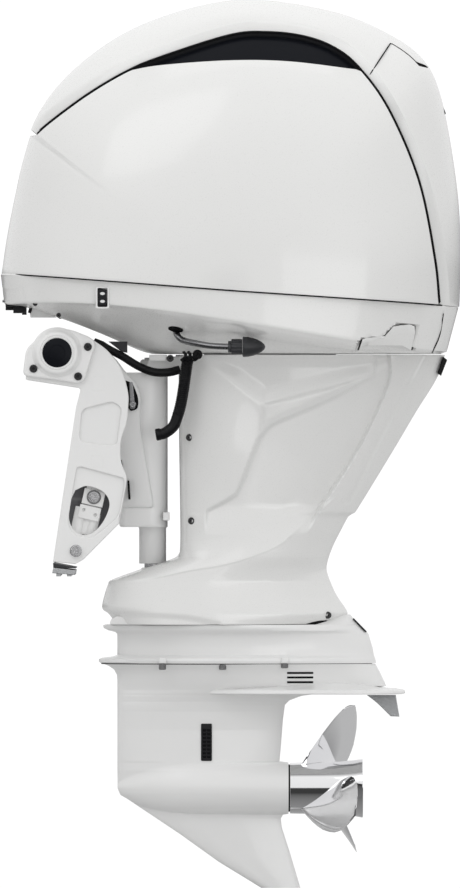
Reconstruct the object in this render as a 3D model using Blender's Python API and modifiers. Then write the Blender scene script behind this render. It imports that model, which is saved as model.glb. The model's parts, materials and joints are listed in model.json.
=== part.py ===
"""Large four-stroke outboard motor, as an assembly of separate pieces.

Metres, +X aft, +Y to starboard, +Z up. The origin is the centre of the flat face that rests on top of the
transom. Port is -Y. Each moving piece hangs from an empty on its joint's axis.
"""

import math

import bmesh
import bpy
import numpy as np
from mathutils import Matrix, Vector

# Axes of motion
TILT_AXIS = Vector((0.0086, 0.0, 0.0678))
STEER_X = 0.217
SHAFT_X = 0.360
PROP_Z = -0.889
RAKE = math.radians(8.5)

# Cowling
COWL_HALF_WIDTH = 0.317
COWL_CENTRE = (0.3872, 0.2050)
SEAM_FRONT = (-0.1155, 0.2420)
SEAM_REAR = (0.8888, 0.1694)
SIDE_FULLNESS = 3.5
SKIN = 0.004
PANEL_GAP = 0.0015
COWL_LIFT_GAP = 0.002

# Bracket, housings and lower unit
PAN_FLOOR = 0.066
CLAMP_INNER = 0.150
CLAMP_THICK = 0.026
TILT_TUBE_RADIUS = 0.020
RUNNING_GAP = 0.0005
REST_GAP = 0.0004
STEER_SHAFT_RADIUS = 0.018
DRIVE_SHAFT_RADIUS = 0.011
PROP_SHAFT_RADIUS = 0.013
TORPEDO_RADIUS = 0.057
TORPEDO_BORE = 0.046
PROP_RADIUS = 0.186
HUB_RADIUS = 0.057
PINION_TEETH_SHARE = 12 / 21
GEAR_RADIUS = 0.042

TILT_FOOT = Vector((0.0497, 0.0, -0.3661))
TILT_HEAD = Vector((0.100, 0.0, -0.010))

# Side silhouette of the cowl, from the front of the seam over the top to the rear of the seam
COWL_SIDE = (
    SEAM_FRONT, (-0.1034, 0.3234), (-0.0858, 0.4136), (-0.0671, 0.4950), (-0.0374, 0.5830),
    (0.0198, 0.6644), (0.1078, 0.7392), (0.2046, 0.7920), (0.3322, 0.8316), (0.4510, 0.8426),
    (0.6138, 0.8162), (0.7260, 0.7722), (0.8074, 0.7150), (0.8492, 0.6292), (0.8822, 0.4444),
    (0.8921, 0.2948), SEAM_REAR,
)
# Line between the side panel and the crown, from the front tip to the rear of the seam
CROWN_LINE = (
    (-0.0590, 0.5240), (-0.0220, 0.5632), (0.0748, 0.6336), (0.1628, 0.6850), (0.2354, 0.7150),
    (0.3872, 0.7634), (0.4686, 0.7700), (0.5478, 0.7612), (0.6138, 0.7370), (0.6688, 0.6930),
    (0.7348, 0.5995), (0.8008, 0.4444), (0.8360, 0.2750), (0.8470, 0.1720),
)
# Lower edge of the dark intake opening
WINDOW_SILL = (
    (0.1628, 0.6842), (0.2354, 0.6963), (0.3872, 0.7062), (0.5170, 0.7040), (0.6622, 0.6873), (0.6720,
                                                                                               0.6900),
)
REAR_CAP_ANGLE = math.radians(57.0)
TIP_ANGLE = math.radians(141.0)

WHITE = (0.86, 0.86, 0.85)
BLACK = (0.018, 0.018, 0.020)
STEEL = (0.62, 0.62, 0.63)
ZINC = (0.45, 0.46, 0.47)
IRON = (0.25, 0.25, 0.26)
ALLOY = (0.55, 0.56, 0.57)


# ---------------------------------------------------------------- scene helpers

def clear_scene():
    for obj in list(bpy.data.objects):
        bpy.data.objects.remove(obj, do_unlink=True)


def new_collection(name):
    collection = bpy.data.collections.new(name)
    bpy.context.scene.collection.children.link(collection)
    return collection


def material(name, colour, roughness, metallic=0.0):
    mat = bpy.data.materials.get(name) or bpy.data.materials.new(name)
    mat.use_nodes = True
    shader = mat.node_tree.nodes["Principled BSDF"]
    shader.inputs["Base Color"].default_value = (*colour, 1.0)
    shader.inputs["Roughness"].default_value = roughness
    shader.inputs["Metallic"].default_value = metallic
    return mat


def paint(name):
    return material(name, WHITE, 0.25)


def joint_empty(name, location, parent="steering_axis"):
    """An empty on a joint's axis, at a world location, under the empty of the body that carries it."""
    empty = bpy.data.objects.new(name, None)
    empty.empty_display_size = 0.05
    PARTS.objects.link(empty)
    empty.location = location
    if parent in EMPTIES:
        carrier, carrier_location = EMPTIES[parent]
        empty.parent = carrier
        empty.location = Vector(location) - carrier_location
    EMPTIES[name] = (empty, Vector(location))


def hang(obj, empty_name):
    """Parents obj to an empty and leaves it where it is."""
    empty, location = EMPTIES[empty_name]
    obj.parent = empty
    obj.matrix_parent_inverse = Matrix.Translation(location).inverted()
    return obj


def finish_mesh(mesh, angle=40.0):
    mesh.shade_smooth()
    mesh.set_sharp_from_angle(angle=math.radians(angle))


def add(name, mesh, mat):
    """A named part from a mesh."""
    mesh.name = name
    finish_mesh(mesh)
    obj = bpy.data.objects.new(name, mesh)
    if mat is not None:
        mesh.materials.clear()
        mesh.materials.append(mat)
    PARTS.objects.link(obj)
    return obj


def as_cutter(obj):
    """Moves a shape to the cutters, which aren't parts."""
    PARTS.objects.unlink(obj)
    CUTTERS.objects.link(obj)
    obj.hide_render = True
    obj.display_type = "WIRE"
    return obj


def boolean(obj, other, operation):
    as_cutter(other)
    modifier = obj.modifiers.new(operation.lower() + "_" + other.name, "BOOLEAN")
    modifier.operation = operation
    modifier.solver = "EXACT"
    modifier.object = other
    return obj


def cut(obj, *others):
    for other in others:
        boolean(obj, other, "DIFFERENCE")
    return obj


def join(obj, *others):
    for other in others:
        boolean(obj, other, "UNION")
    return obj


def use_manifold_solver(obj):
    """For a chain of cuts and joins of closed bodies that the exact solver leaves open."""
    for modifier in obj.modifiers:
        if modifier.type == "BOOLEAN":
            modifier.solver = "MANIFOLD"


def mesh_from(bm, name):
    bmesh.ops.recalc_face_normals(bm, faces=bm.faces)
    mesh = bpy.data.meshes.new(name)
    bm.to_mesh(mesh)
    bm.free()
    return mesh


# ---------------------------------------------------------------- shape helpers

def smooth_line(points, steps=4):
    """A smooth open line through a few points (Catmull-Rom), with steps between neighbours."""
    ends = [2 * Vector(points[0]) - Vector(points[1]), 2 * Vector(points[-1]) - Vector(points[-2])]
    full = [ends[0], *map(Vector, points), ends[1]]
    line = []
    for a, b, c, d in zip(full, full[1:], full[2:], full[3:]):
        for i in range(steps):
            t = i / steps
            line.append(0.5 * (2 * b + (c - a) * t + (2 * a - 5 * b + 4 * c - d) * t * t
                               + (3 * b - a - 3 * c + d) * t ** 3))
    return line + [full[-2]]


def lerp_table(table, key):
    """Value at key from (key, value) pairs in rising order of key."""
    if key <= table[0][0]:
        return table[0][1]
    for (k0, v0), (k1, v1) in zip(table, table[1:]):
        if key <= k1:
            return v0 + (v1 - v0) * (key - k0) / (k1 - k0)
    return table[-1][1]


def box(name, low, high, mat, bevel=0.0):
    bm = bmesh.new()
    bmesh.ops.create_cube(bm, size=1.0)
    size = [h - l for l, h in zip(low, high)]
    bmesh.ops.scale(bm, vec=size, verts=bm.verts)
    obj = add(name, mesh_from(bm, name), mat)
    obj.location = [(l + h) / 2 for l, h in zip(low, high)]
    if bevel:
        modifier = obj.modifiers.new("edges", "BEVEL")
        modifier.width = bevel
        modifier.segments = 1
    return obj


def rod(name, start, end, radius, mat, end_radius=None, sides=16):
    """A cylinder or cone from start to end."""
    start, end = Vector(start), Vector(end)
    bm = bmesh.new()
    bmesh.ops.create_cone(bm, cap_ends=True, segments=sides, radius1=radius,
                          radius2=radius if end_radius is None else end_radius, depth=(end - start).length)
    obj = add(name, mesh_from(bm, name), mat)
    obj.rotation_mode = "QUATERNION"
    obj.rotation_quaternion = (end - start).to_track_quat("Z", "Y")
    obj.location = (start + end) / 2
    return obj


def ring(name, start, end, outer, inner, mat, sides=18):
    """A tube with a bore, turned about the line from start to end."""
    start, end = Vector(start), Vector(end)
    half = (end - start).length / 2
    return turned(name, ((outer, half), (outer, -half), (inner, -half), (inner, half)), mat,
                  (start + end) / 2, end - start, closed=True, steps=sides)


def turned(name, profile, mat, place, axis=(0, 0, 1), closed=False, steps=18):
    """A profile of (radius, height) down its outer side, top to bottom, turned about axis through place."""
    bm = bmesh.new()
    verts = [bm.verts.new((r, 0.0, h)) for r, h in profile]
    pairs = list(zip(verts, verts[1:])) + ([(verts[-1], verts[0])] if closed else [])
    for a, b in pairs:
        bm.edges.new((a, b))
    mesh = bpy.data.meshes.new(name)
    bm.to_mesh(mesh)
    bm.free()
    obj = add(name, mesh, mat)
    screw = obj.modifiers.new("turn", "SCREW")
    screw.axis = "Z"
    screw.steps = steps
    screw.render_steps = steps
    screw.use_merge_vertices = True
    screw.merge_threshold = 0.00005
    obj.rotation_mode = "QUATERNION"
    obj.rotation_quaternion = Vector(axis).to_track_quat("Z", "Y")
    obj.location = place
    return obj


def curve_to_mesh(obj, mat):
    """Replaces a curve by its mesh, with its caps welded on."""
    bpy.context.view_layer.update()
    graph = bpy.context.evaluated_depsgraph_get()
    mesh = bpy.data.meshes.new_from_object(obj.evaluated_get(graph))
    bm = bmesh.new()
    bm.from_mesh(mesh)
    bmesh.ops.remove_doubles(bm, verts=bm.verts, dist=0.00001)
    bmesh.ops.recalc_face_normals(bm, faces=bm.faces)
    bm.to_mesh(mesh)
    bm.free()
    name, place = obj.name, obj.matrix_world.copy()
    bpy.data.objects.remove(obj)
    made = add(name, mesh, mat)
    made.matrix_world = place
    return made


def plate(name, outline, y_low, y_high, mat, holes=()):
    """A flat piece: an (x, z) outline with holes, from y_low to y_high."""
    curve = bpy.data.curves.new(name, "CURVE")
    curve.dimensions = "2D"
    curve.fill_mode = "BOTH"
    curve.extrude = (y_high - y_low) / 2
    for line in (outline, *holes):
        spline = curve.splines.new("POLY")
        spline.points.add(len(line) - 1)
        for point, (x, z) in zip(spline.points, line):
            point.co = (x, z, 0.0, 1.0)
        spline.use_cyclic_u = True
    obj = bpy.data.objects.new(name, curve)
    obj.matrix_world = Matrix.Translation((0, (y_low + y_high) / 2, 0)) @ Matrix.Rotation(math.pi / 2, 4, "X")
    PARTS.objects.link(obj)
    return curve_to_mesh(obj, mat)


def tube(name, points, radius, mat):
    """A round hose or wire along points."""
    curve = bpy.data.curves.new(name, "CURVE")
    curve.dimensions = "3D"
    curve.bevel_depth = radius
    curve.bevel_resolution = 2
    curve.use_fill_caps = True
    spline = curve.splines.new("POLY")
    spline.points.add(len(points) - 1)
    for point, co in zip(spline.points, points):
        point.co = (*co, 1.0)
    obj = bpy.data.objects.new(name, curve)
    PARTS.objects.link(obj)
    return curve_to_mesh(obj, mat)


def circle(x, z, radius, count=20):
    return [(x + radius * math.cos(2 * math.pi * i / count), z + radius * math.sin(2 * math.pi * i / count))
            for i in range(count)]


def grid_faces(bm, rows, wrap=False):
    """Quads between neighbouring rows of vertices."""
    for row, after in zip(rows, rows[1:]):
        count = len(row) if wrap else len(row) - 1
        for i in range(count):
            j = (i + 1) % len(row)
            face = list(dict.fromkeys((row[i], row[j], after[j], after[i])))
            if len(face) > 2:
                bm.faces.new(face)


def loft(name, sections, mat, capped=True):
    """A body through closed sections with the same number of points each."""
    bm = bmesh.new()
    rows = [[bm.verts.new(p) for p in section] for section in sections]
    grid_faces(bm, rows, wrap=True)
    if capped:
        bm.faces.new(rows[0])
        bm.faces.new(rows[-1])
    return add(name, mesh_from(bm, name), mat)


def open_sheet(name, rows, mat, inside):
    """An open surface through rows of points, facing away from a point inside it."""
    bm = bmesh.new()
    made = {}

    def vertex(point):
        key = tuple(round(c, 6) for c in point)
        if key not in made:
            made[key] = bm.verts.new(point)
        return made[key]

    grid_faces(bm, [[vertex(p) for p in row] for row in rows])
    bmesh.ops.recalc_face_normals(bm, faces=bm.faces)
    facing = sum(f.normal.dot(f.calc_center_median() - Vector(inside)) * f.calc_area() for f in bm.faces)
    if facing < 0:
        bmesh.ops.reverse_faces(bm, faces=bm.faces)
    mesh = bpy.data.meshes.new(name)
    bm.to_mesh(mesh)
    bm.free()
    return add(name, mesh, mat)


def solidify(obj, thickness, offset=-1.0):
    modifier = obj.modifiers.new("skin", "SOLIDIFY")
    modifier.thickness = thickness
    modifier.offset = offset
    return obj


def mirror_y(obj):
    modifier = obj.modifiers.new("other_side", "MIRROR")
    modifier.use_axis = (False, True, False)
    modifier.use_mirror_merge = True
    modifier.merge_threshold = 0.0001
    return obj


# ---------------------------------------------------------------- top cowl

def polar_table(line):
    """(angle, distance) from the cowl's centre for a line in the side view, in rising order of angle."""
    table = []
    for x, z in (p.xy for p in smooth_line([(*p, 0.0) for p in line], 6)):
        dx, dz = x - COWL_CENTRE[0], z - COWL_CENTRE[1]
        table.append((math.atan2(dz, dx), math.hypot(dx, dz)))
    return sorted(table)


def cowl_point(angle, share, inset=0.0):
    """Point on the cowl's port side. share runs from 0 at its centre to 1 on its mid-plane silhouette."""
    reach = lerp_table(SIDE_TABLE, angle) - inset
    x = COWL_CENTRE[0] + math.cos(angle) * reach * share
    z = COWL_CENTRE[1] + math.sin(angle) * reach * share
    depth = (COWL_HALF_WIDTH - inset) * math.sqrt(max(0.0, 1.0 - share ** SIDE_FULLNESS))
    return x, -depth, z


def share_at(turn):
    """The share whose depth is cos(turn) of the full width, so even steps in turn space the rows evenly."""
    return math.sin(turn) ** (2 / SIDE_FULLNESS)


def turn_at(share):
    return math.asin(min(1.0, share ** (SIDE_FULLNESS / 2)))


def edge_share(table, angle, gap):
    """The share at which a line in the side view crosses this angle, moved by gap metres."""
    reach = lerp_table(SIDE_TABLE, angle)
    return min(1.0, max(0.0, (lerp_table(table, angle) + gap) / reach))


def cowl_shell(name, angles, low_share, high_share, mat, steps=6, inset=0.0, skin=SKIN):
    """A curved panel between two lines, mirrored to starboard: one body where a line reaches the middle."""
    rows = []
    for angle in angles:
        low, high = turn_at(low_share(angle)), turn_at(high_share(angle))
        row = [cowl_point(angle, share_at(low + (high - low) * i / steps), inset) for i in range(steps + 1)]
        rows.append([(x, 0.0 if abs(y) < 1e-4 else y, z) for x, y, z in row])
    obj = open_sheet(name, rows, mat, (COWL_CENTRE[0], 0.0, COWL_CENTRE[1]))
    mirror_y(obj)
    solidify(obj, skin)
    return hang(obj, "cowl_lift")


def span(low, high, count):
    return [low + (high - low) * i / count for i in range(count + 1)]


def seam_angles():
    """The directions of the seam's rear and front ends, raised by the gap over the pan."""
    rear = math.atan2(SEAM_REAR[1] + COWL_LIFT_GAP - COWL_CENTRE[1], SEAM_REAR[0] - COWL_CENTRE[0])
    front = math.atan2(SEAM_FRONT[1] + COWL_LIFT_GAP - COWL_CENTRE[1], SEAM_FRONT[0] - COWL_CENTRE[0])
    return rear, front


def make_side_shell():
    """Port and starboard sides of the cowl, joined round its front."""
    rear, front = seam_angles()

    def top(angle):
        if angle > TIP_ANGLE:
            return 1.0
        table = SILL_TABLE if WINDOW_END < angle < WINDOW_START else CROWN_TABLE
        return edge_share(table, angle, -PANEL_GAP)

    angles = sorted(set(span(rear, front, 18) + [TIP_ANGLE, TIP_ANGLE + 0.01, WINDOW_END, WINDOW_START]))
    return cowl_shell("cowl_side_shell", angles, lambda a: 0.0, top, paint("side_paint"), steps=6)


def make_crown():
    """Top moulding from the front tip over the intake openings."""
    angles = span(REAR_CAP_ANGLE + 0.003, TIP_ANGLE - 0.03, 11)
    return cowl_shell("cowl_crown", angles, lambda a: edge_share(CROWN_TABLE, a, PANEL_GAP), lambda a: 1.0,
                      paint("crown_paint"), steps=4)


def make_rear_cap():
    """Rear moulding from the crown down the back to the seam."""
    rear, _ = seam_angles()
    return cowl_shell("cowl_rear_cap", span(rear, REAR_CAP_ANGLE - 0.003, 8),
                      lambda a: edge_share(CROWN_TABLE, a, PANEL_GAP), lambda a: 1.0,
                      paint("rear_cap_paint"), steps=4)


def make_intake_duct():
    """Dark air duct behind both side openings, under the crown."""
    duct_inset = 0.014
    angles = span(WINDOW_END + 0.02, WINDOW_START - 0.02, 9)
    return cowl_shell("intake_duct", angles, lambda a: edge_share(SILL_TABLE, a, -0.02), lambda a: 1.0,
                      material("duct_plastic", BLACK, 0.3), steps=4, inset=duct_inset, skin=0.003)


# ---------------------------------------------------------------- bottom cowl

# Rings of the pan: front x, rear x, half width, then heights at the shares of its length in PAN_STATIONS
PAN_STATIONS = (0.0, 0.45, 0.8, 1.0)
PAN_RINGS = (
    (-0.1170, 0.8890, 0.3150, 0.2400, 0.2067, 0.1808, 0.1660),
    (-0.1090, 0.8810, 0.3130, 0.1800, 0.1620, 0.0880, 0.0710),
    (-0.0600, 0.8740, 0.2950, 0.1770, 0.1500, 0.0770, 0.0690),
    (0.0154, 0.8680, 0.2450, 0.1450, 0.1220, 0.0720, 0.0680),
    (0.1000, 0.8640, 0.1900, 0.1130, 0.0940, 0.0690, 0.0670),
    (0.2046, 0.8600, 0.1300, PAN_FLOOR, PAN_FLOOR, PAN_FLOOR, PAN_FLOOR),
    (0.2700, 0.7600, 0.0850, PAN_FLOOR, PAN_FLOOR, PAN_FLOOR, PAN_FLOOR),
)
PAN_NOSE = 2.6
PAN_SIDE = 2.4


def ring_height(ring_values, s):
    """Height of a ring at share s of its length: the cubic through its four heights."""
    total = 0.0
    for i, (station, height) in enumerate(zip(PAN_STATIONS, ring_values[3:])):
        for j, other in enumerate(PAN_STATIONS):
            if j != i:
                height *= (s - other) / (station - other)
        total += height
    return total


def ring_point(ring_values, angle):
    front, rear, half_width = ring_values[:3]
    c, s = math.cos(angle), math.sin(angle)
    x = (front + rear) / 2 - (rear - front) / 2 * math.copysign(abs(c) ** (2 / PAN_NOSE), c)
    y = half_width * math.copysign(abs(s) ** (2 / PAN_SIDE), s)
    return Vector((x, y, ring_height(ring_values, (x - front) / (rear - front))))


def pan_half_width(x, z):
    """Half width of the pan's outside at a point of its side view."""
    found = []
    for values in PAN_RINGS[:-1]:
        front, rear, half_width = values[:3]
        u = abs(2 * (x - front) / (rear - front) - 1)
        if u < 1:
            found.append((ring_height(values, (x - front) / (rear - front)),
                          half_width * (1 - u ** PAN_NOSE) ** (1 / PAN_SIDE)))
    return lerp_table(sorted(found), z)


def make_bottom_cowl():
    """The pan: a tub that is open at the top, with a hole in its floor over the midsection."""
    steps = 24
    rows = []
    for values in PAN_RINGS:
        rows.append([tuple(ring_point(values, -math.pi + 2 * math.pi * i / steps)) for i in range(steps)])
    rows = [row + row[:1] for row in rows]
    obj = open_sheet("bottom_cowl", rows, paint("pan_paint"), (0.39, 0.0, 0.16))
    solidify(obj, 0.005)
    return hang(obj, "steering_axis")


def make_cowl_seal():
    """Rubber seal that lies inside the pan's rim, under the top cowl."""
    values = (-0.098, 0.870, 0.297, 0.2320, 0.1990, 0.1730, 0.1590)
    points = [ring_point(values, 2 * math.pi * i / 22) for i in range(22)]
    curve_points = points + [points[0] + (points[1] - points[0]) * 0.5]
    obj = tube("cowl_seal", curve_points[1:-1], 0.005, material("seal_rubber", BLACK, 0.7))
    return hang(obj, "steering_axis")


def pan_frame(x, z, side, out):
    """Axes on the pan's side at a point of its side view: x along it, y up it, z out of it."""
    reach = 0.02

    def on_pan(px, pz):
        return Vector((px, side * pan_half_width(px, pz), pz))

    along = (on_pan(x + reach, z) - on_pan(x - reach, z)).normalized()
    up = (on_pan(x, z + reach) - on_pan(x, z - reach)).normalized()
    outward = along.cross(up).normalized() * -side
    along = (up.cross(outward) if side < 0 else outward.cross(up)).normalized()
    place = Matrix((along, outward.cross(along).normalized(), outward)).transposed().to_4x4()
    place.translation = on_pan(x, z) + outward * out
    return place


def box_on_pan(name, place, half_length, half_height, half_thickness, mat, bevel):
    obj = box(name, (-half_length, -half_height, -half_thickness), (half_length, half_height, half_thickness),
              mat, bevel)
    obj.matrix_world = place
    return obj


def make_latch(side, name):
    """A lift lever that locks the top cowl, hinged along its top edge."""
    place = pan_frame(0.735, 0.108, side, 0.011)
    joint_empty(name + "_pivot", place @ Vector((0.0, 0.021 * place.col[1].z / abs(place.col[1].z), 0.0)))
    obj = box_on_pan(name, place, 0.045, 0.021, 0.004, paint("latch_paint"), 0.003)
    return hang(obj, name + "_pivot")


def make_trim_switch():
    """Rocker switch for tilting the motor from beside it."""
    place = pan_frame(0.1087, 0.1950, -1, 0.0080)
    joint_empty("trim_switch_pivot", place.translation)
    obj = box_on_pan("trim_switch", place, 0.011, 0.018, 0.0035, material("switch_plastic", BLACK, 0.35),
                     0.002)
    return hang(obj, "trim_switch_pivot")


# ---------------------------------------------------------------- midsection

# Heights of the apron with its front x, rear x, half width and the half width of its open front
APRON_LEVELS = (
    (0.0640, 0.2740, 0.8590, 0.1260, 0.052), (0.0132, 0.2745, 0.8426, 0.1230, 0.052),
    (-0.0616, 0.2750, 0.7964, 0.1170, 0.052), (-0.1340, 0.2760, 0.7535, 0.1110, 0.052),
    (-0.2520, 0.2775, 0.6820, 0.1040, 0.052), (-0.3256, 0.2780, 0.6290, 0.1020, 0.052),
    (-0.3760, 0.2740, 0.6050, 0.1030, 0.052), (-0.3900, 0.2450, 0.6020, 0.1040, 0.050),
    (-0.4100, 0.1837, 0.6000, 0.1060, 0.046), (-0.4356, 0.1240, 0.6080, 0.1090, 0.030),
    (-0.4700, 0.1100, 0.6250, 0.1130, 0.003), (-0.5030, 0.1150, 0.6470, 0.1160, 0.001),
    (-0.5250, 0.1350, 0.6300, 0.1170, 0.001),
)
APRON_STATIONS = (0.0, 0.02, 0.07, 0.18, 0.36, 0.56, 0.76, 0.92, 1.0)
SPLIT_GAP = 0.0006


def apron_depth(share, half_width, open_front):
    """Half width of the apron at a share of its length: blunt at the front, tapering to its rear edge."""
    nose = min(1.0, share / 0.22)
    tail = max(0.0, (share - 0.40) / 0.60)
    swell = open_front + (half_width - open_front) * math.sqrt(1 - (1 - nose) ** 2.4)
    return swell * (1 - tail ** 2.0) ** 0.75 + SPLIT_GAP


def make_apron(side, name):
    """One half of the cover round the drive housing."""
    rows = []
    for z, front, rear, half_width, open_front in APRON_LEVELS:
        rows.append([(front + (rear - front) * s, side * apron_depth(s, half_width, open_front), z)
                     for s in APRON_STATIONS])
    obj = open_sheet(name, rows, paint("apron_paint"), (0.42, 0.0, -0.25))
    solidify(obj, 0.0035)
    low, high = sides(side, -0.2, SPLIT_GAP)
    cut(obj, box(name + "_split", (-0.1, low, -0.8), (1.2, high, 0.3), None))
    use_manifold_solver(obj)
    return hang(obj, "steering_axis")


def oval(front, rear, half_width, z, count=18, nose=2.0, tail=1.3):
    """A pointed oval in plan, with a blunter front than tail."""
    points = []
    for i in range(count):
        angle = 2 * math.pi * i / count
        c, s = math.cos(angle), math.sin(angle)
        power = tail if c > 0 else nose
        x = (front + rear) / 2 + (rear - front) / 2 * math.copysign(abs(c) ** (2 / nose), c)
        y = half_width * math.copysign(abs(s) ** (1 if power == nose else nose / power), s)
        points.append((x, y, z))
    return points


def make_drive_housing():
    """Inner housing that carries the engine through the pan's floor, with the drive shaft's passage."""
    levels = ((0.058, 0.300, 0.560, 0.044), (-0.10, 0.300, 0.540, 0.044), (-0.36, 0.300, 0.500, 0.044),
              (-0.521, 0.300, 0.480, 0.044))
    obj = loft("drive_housing", [oval(f, r, w, z) for z, f, r, w in levels],
               material("housing_alloy", ALLOY, 0.5))
    join(obj, box("exhaust_guide", (0.330, -0.058, 0.0500), (0.620, 0.058, 0.1295), None))
    cut(obj, rod("drive_housing_passage", (SHAFT_X, 0, -0.6), (SHAFT_X, 0, 0.2), 0.018, None))
    cut(obj, rod("drive_housing_exhaust", (0.440, 0, -0.6), (0.440, 0, 0.2), 0.026, None))
    return hang(obj, "steering_axis")


def make_upper_casing():
    """Casing between the aprons and the gearcase, with a flange at each end."""
    body = loft("upper_casing", [oval(0.139, 0.690, 0.098, -0.5290), oval(0.139, 0.700, 0.098, -0.560),
                                 oval(0.139, 0.722, 0.098, -0.6120)], paint("casing_paint"))
    join(body, loft("upper_flange", [oval(0.108, 0.664, 0.116, -0.5290),
                                     oval(0.108, 0.676, 0.116, -0.5456)], None))
    join(body, loft("lower_flange", [oval(0.097, 0.722, 0.116, -0.5990),
                                     oval(0.099, 0.728, 0.114, -0.6130)], None))
    cut(body, loft("casing_hollow", [oval(0.200, 0.600, 0.060, -0.50), oval(0.200, 0.600, 0.060, -0.63)],
                   None))
    return hang(body, "steering_axis")


def make_gearcase():
    """Lower unit: strut, plate over the propeller, torpedo and skeg, bored for its shafts and gears."""
    top, plate_top, plate_low = -0.6155, -0.6600, -0.6800
    neck = [oval(0.139, 0.724, 0.098, top), oval(0.139, 0.735, 0.090, -0.640),
            oval(0.139, 0.745, 0.080, plate_low)]
    body = loft("gearcase", neck, paint("gearcase_paint"))
    plan = [(0.262, 0.0), (0.330, 0.060), (0.430, 0.108), (0.560, 0.126), (0.680, 0.122), (0.745, 0.092),
            (0.772, 0.0)]
    curved = [(p.x, p.y) for p in smooth_line([(*p, 0.0) for p in plan], 3)]
    outline = curved + [(x, -y) for x, y in curved[-2:0:-1]]
    join(body, loft("anti_ventilation_plate", [[(x, y, plate_top - 0.002) for x, y in outline],
                                               [(x, y, plate_low - 0.002) for x, y in outline]], None))
    strut = [oval(0.1415, 0.530, 0.052, -0.6740), oval(0.1395, 0.506, 0.042, -0.760),
             oval(0.1395, 0.498, 0.044, -0.850), oval(0.1440, 0.500, 0.040, -0.892)]
    join(body, loft("strut", strut, None))
    torpedo = [(0.0, 0.190), (0.012, 0.186), (0.030, 0.168), (0.047, 0.125), (0.056, 0.060),
               (TORPEDO_RADIUS, 0.0), (TORPEDO_RADIUS, -0.186), (0.0, -0.186)]
    join(body, turned("torpedo", torpedo, None, (0.330, 0, PROP_Z), (-1, 0, 0)))
    skeg_levels = ((-0.8840, 0.1480, 0.497, 0.036), (-0.930, 0.187, 0.4985, 0.020),
                   (-0.985, 0.270, 0.503, 0.011), (-1.050, 0.362, 0.525, 0.008), (-1.1085, 0.457, 0.542, 0.006))
    join(body, loft("skeg", [oval(f, r, w, z, count=16) for z, f, r, w in skeg_levels], None))
    cut(body, rod("gear_bore", (0.300, 0, PROP_Z), (0.60, 0, PROP_Z), TORPEDO_BORE, None, sides=24))
    cut(body, rod("shaft_bore", (SHAFT_X, 0, PROP_Z), (SHAFT_X, 0, -0.60), 0.028, None, sides=16))
    cut(body, box("inlet_passage", (0.3235, -0.2, -0.822), (0.3465, 0.2, -0.746), None))
    use_manifold_solver(body)
    return hang(body, "steering_axis")


def make_inlet_grille(side, name):
    """Slotted grille over the cooling water inlet."""
    low, high = -0.8205, -0.7475
    holes = [[(0.3265, z - 0.002), (0.3435, z - 0.002), (0.3435, z + 0.002), (0.3265, z + 0.002)]
             for z in span(low + 0.008, high - 0.008, 7)]
    outline = [(0.3240, low), (0.3460, low), (0.3460, high), (0.3240, high)]
    inner, outer = 0.036, 0.0440
    y_low, y_high = sorted((side * inner, side * outer))
    obj = plate(name, outline, y_low, y_high, material("grille_plastic", BLACK, 0.5), holes)
    return hang(obj, "steering_axis")


def make_trim_tab():
    """Zinc tab under the plate, which turns to trim the steering pull."""
    outline = [(0.690, -0.684), (0.752, -0.684), (0.760, -0.731), (0.742, -0.7325)]
    joint_empty("trim_tab_pivot", (0.722, 0.0, -0.684))
    return hang(plate("trim_tab", outline, -0.006, 0.006, material("zinc", ZINC, 0.6, 0.5)), "trim_tab_pivot")


def make_steering_parts():
    """Steering shaft, and the arm and yoke that carry the drive housing on it."""
    steel = material("shaft_steel", STEEL, 0.3, 1.0)
    shaft = rod("steering_shaft", (STEER_X, 0, -0.432), (STEER_X, 0, 0.058), STEER_SHAFT_RADIUS, steel)
    hang(shaft, "steering_axis")
    for name, low, high in (("steering_arm", 0.028, 0.054), ("lower_mount_yoke", -0.430, -0.404)):
        block = box(name, (0.190, -0.040, low), (0.2985, 0.040, high), paint("arm_paint"), bevel=0.004)
        cut(block, rod(name + "_bore", (STEER_X, 0, low - 0.01), (STEER_X, 0, high + 0.01),
                       STEER_SHAFT_RADIUS + REST_GAP, None))
        hang(block, "steering_axis")


# ---------------------------------------------------------------- engine

def make_engine():
    """Powerhead: vertical crankcase, two cylinder banks, intake box and starter."""
    cast = material("engine_paint", IRON, 0.5, 0.3)
    plastic = material("engine_plastic", BLACK, 0.5)
    block = box("crankcase", (0.240, -0.095, 0.130), (0.4585, 0.095, 0.640), cast, bevel=0.010)
    cut(block, rod("crankcase_bore", (SHAFT_X, 0, 0.05), (SHAFT_X, 0, 0.70), 0.046, None))
    hang(block, "steering_axis")
    for side, name in ((-1, "cylinder_bank_port"), (1, "cylinder_bank_starboard")):
        bank = box(name, (-0.115, -0.052, -0.200), (0.115, 0.052, 0.200), cast, bevel=0.008)
        bank.location = (0.590, side * 0.105, 0.380)
        bank.rotation_euler = (0, 0, side * math.radians(25))
        hang(bank, "steering_axis")
    hang(box("intake_manifold", (0.070, -0.130, 0.290), (0.2385, 0.130, 0.540), plastic, bevel=0.020),
         "steering_axis")
    hang(rod("starter_motor", (0.300, -0.142, 0.420), (0.300, -0.142, 0.600), 0.038,
             material("starter_steel", IRON, 0.35, 0.8)), "steering_axis")


# ---------------------------------------------------------------- driveline and propeller

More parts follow.
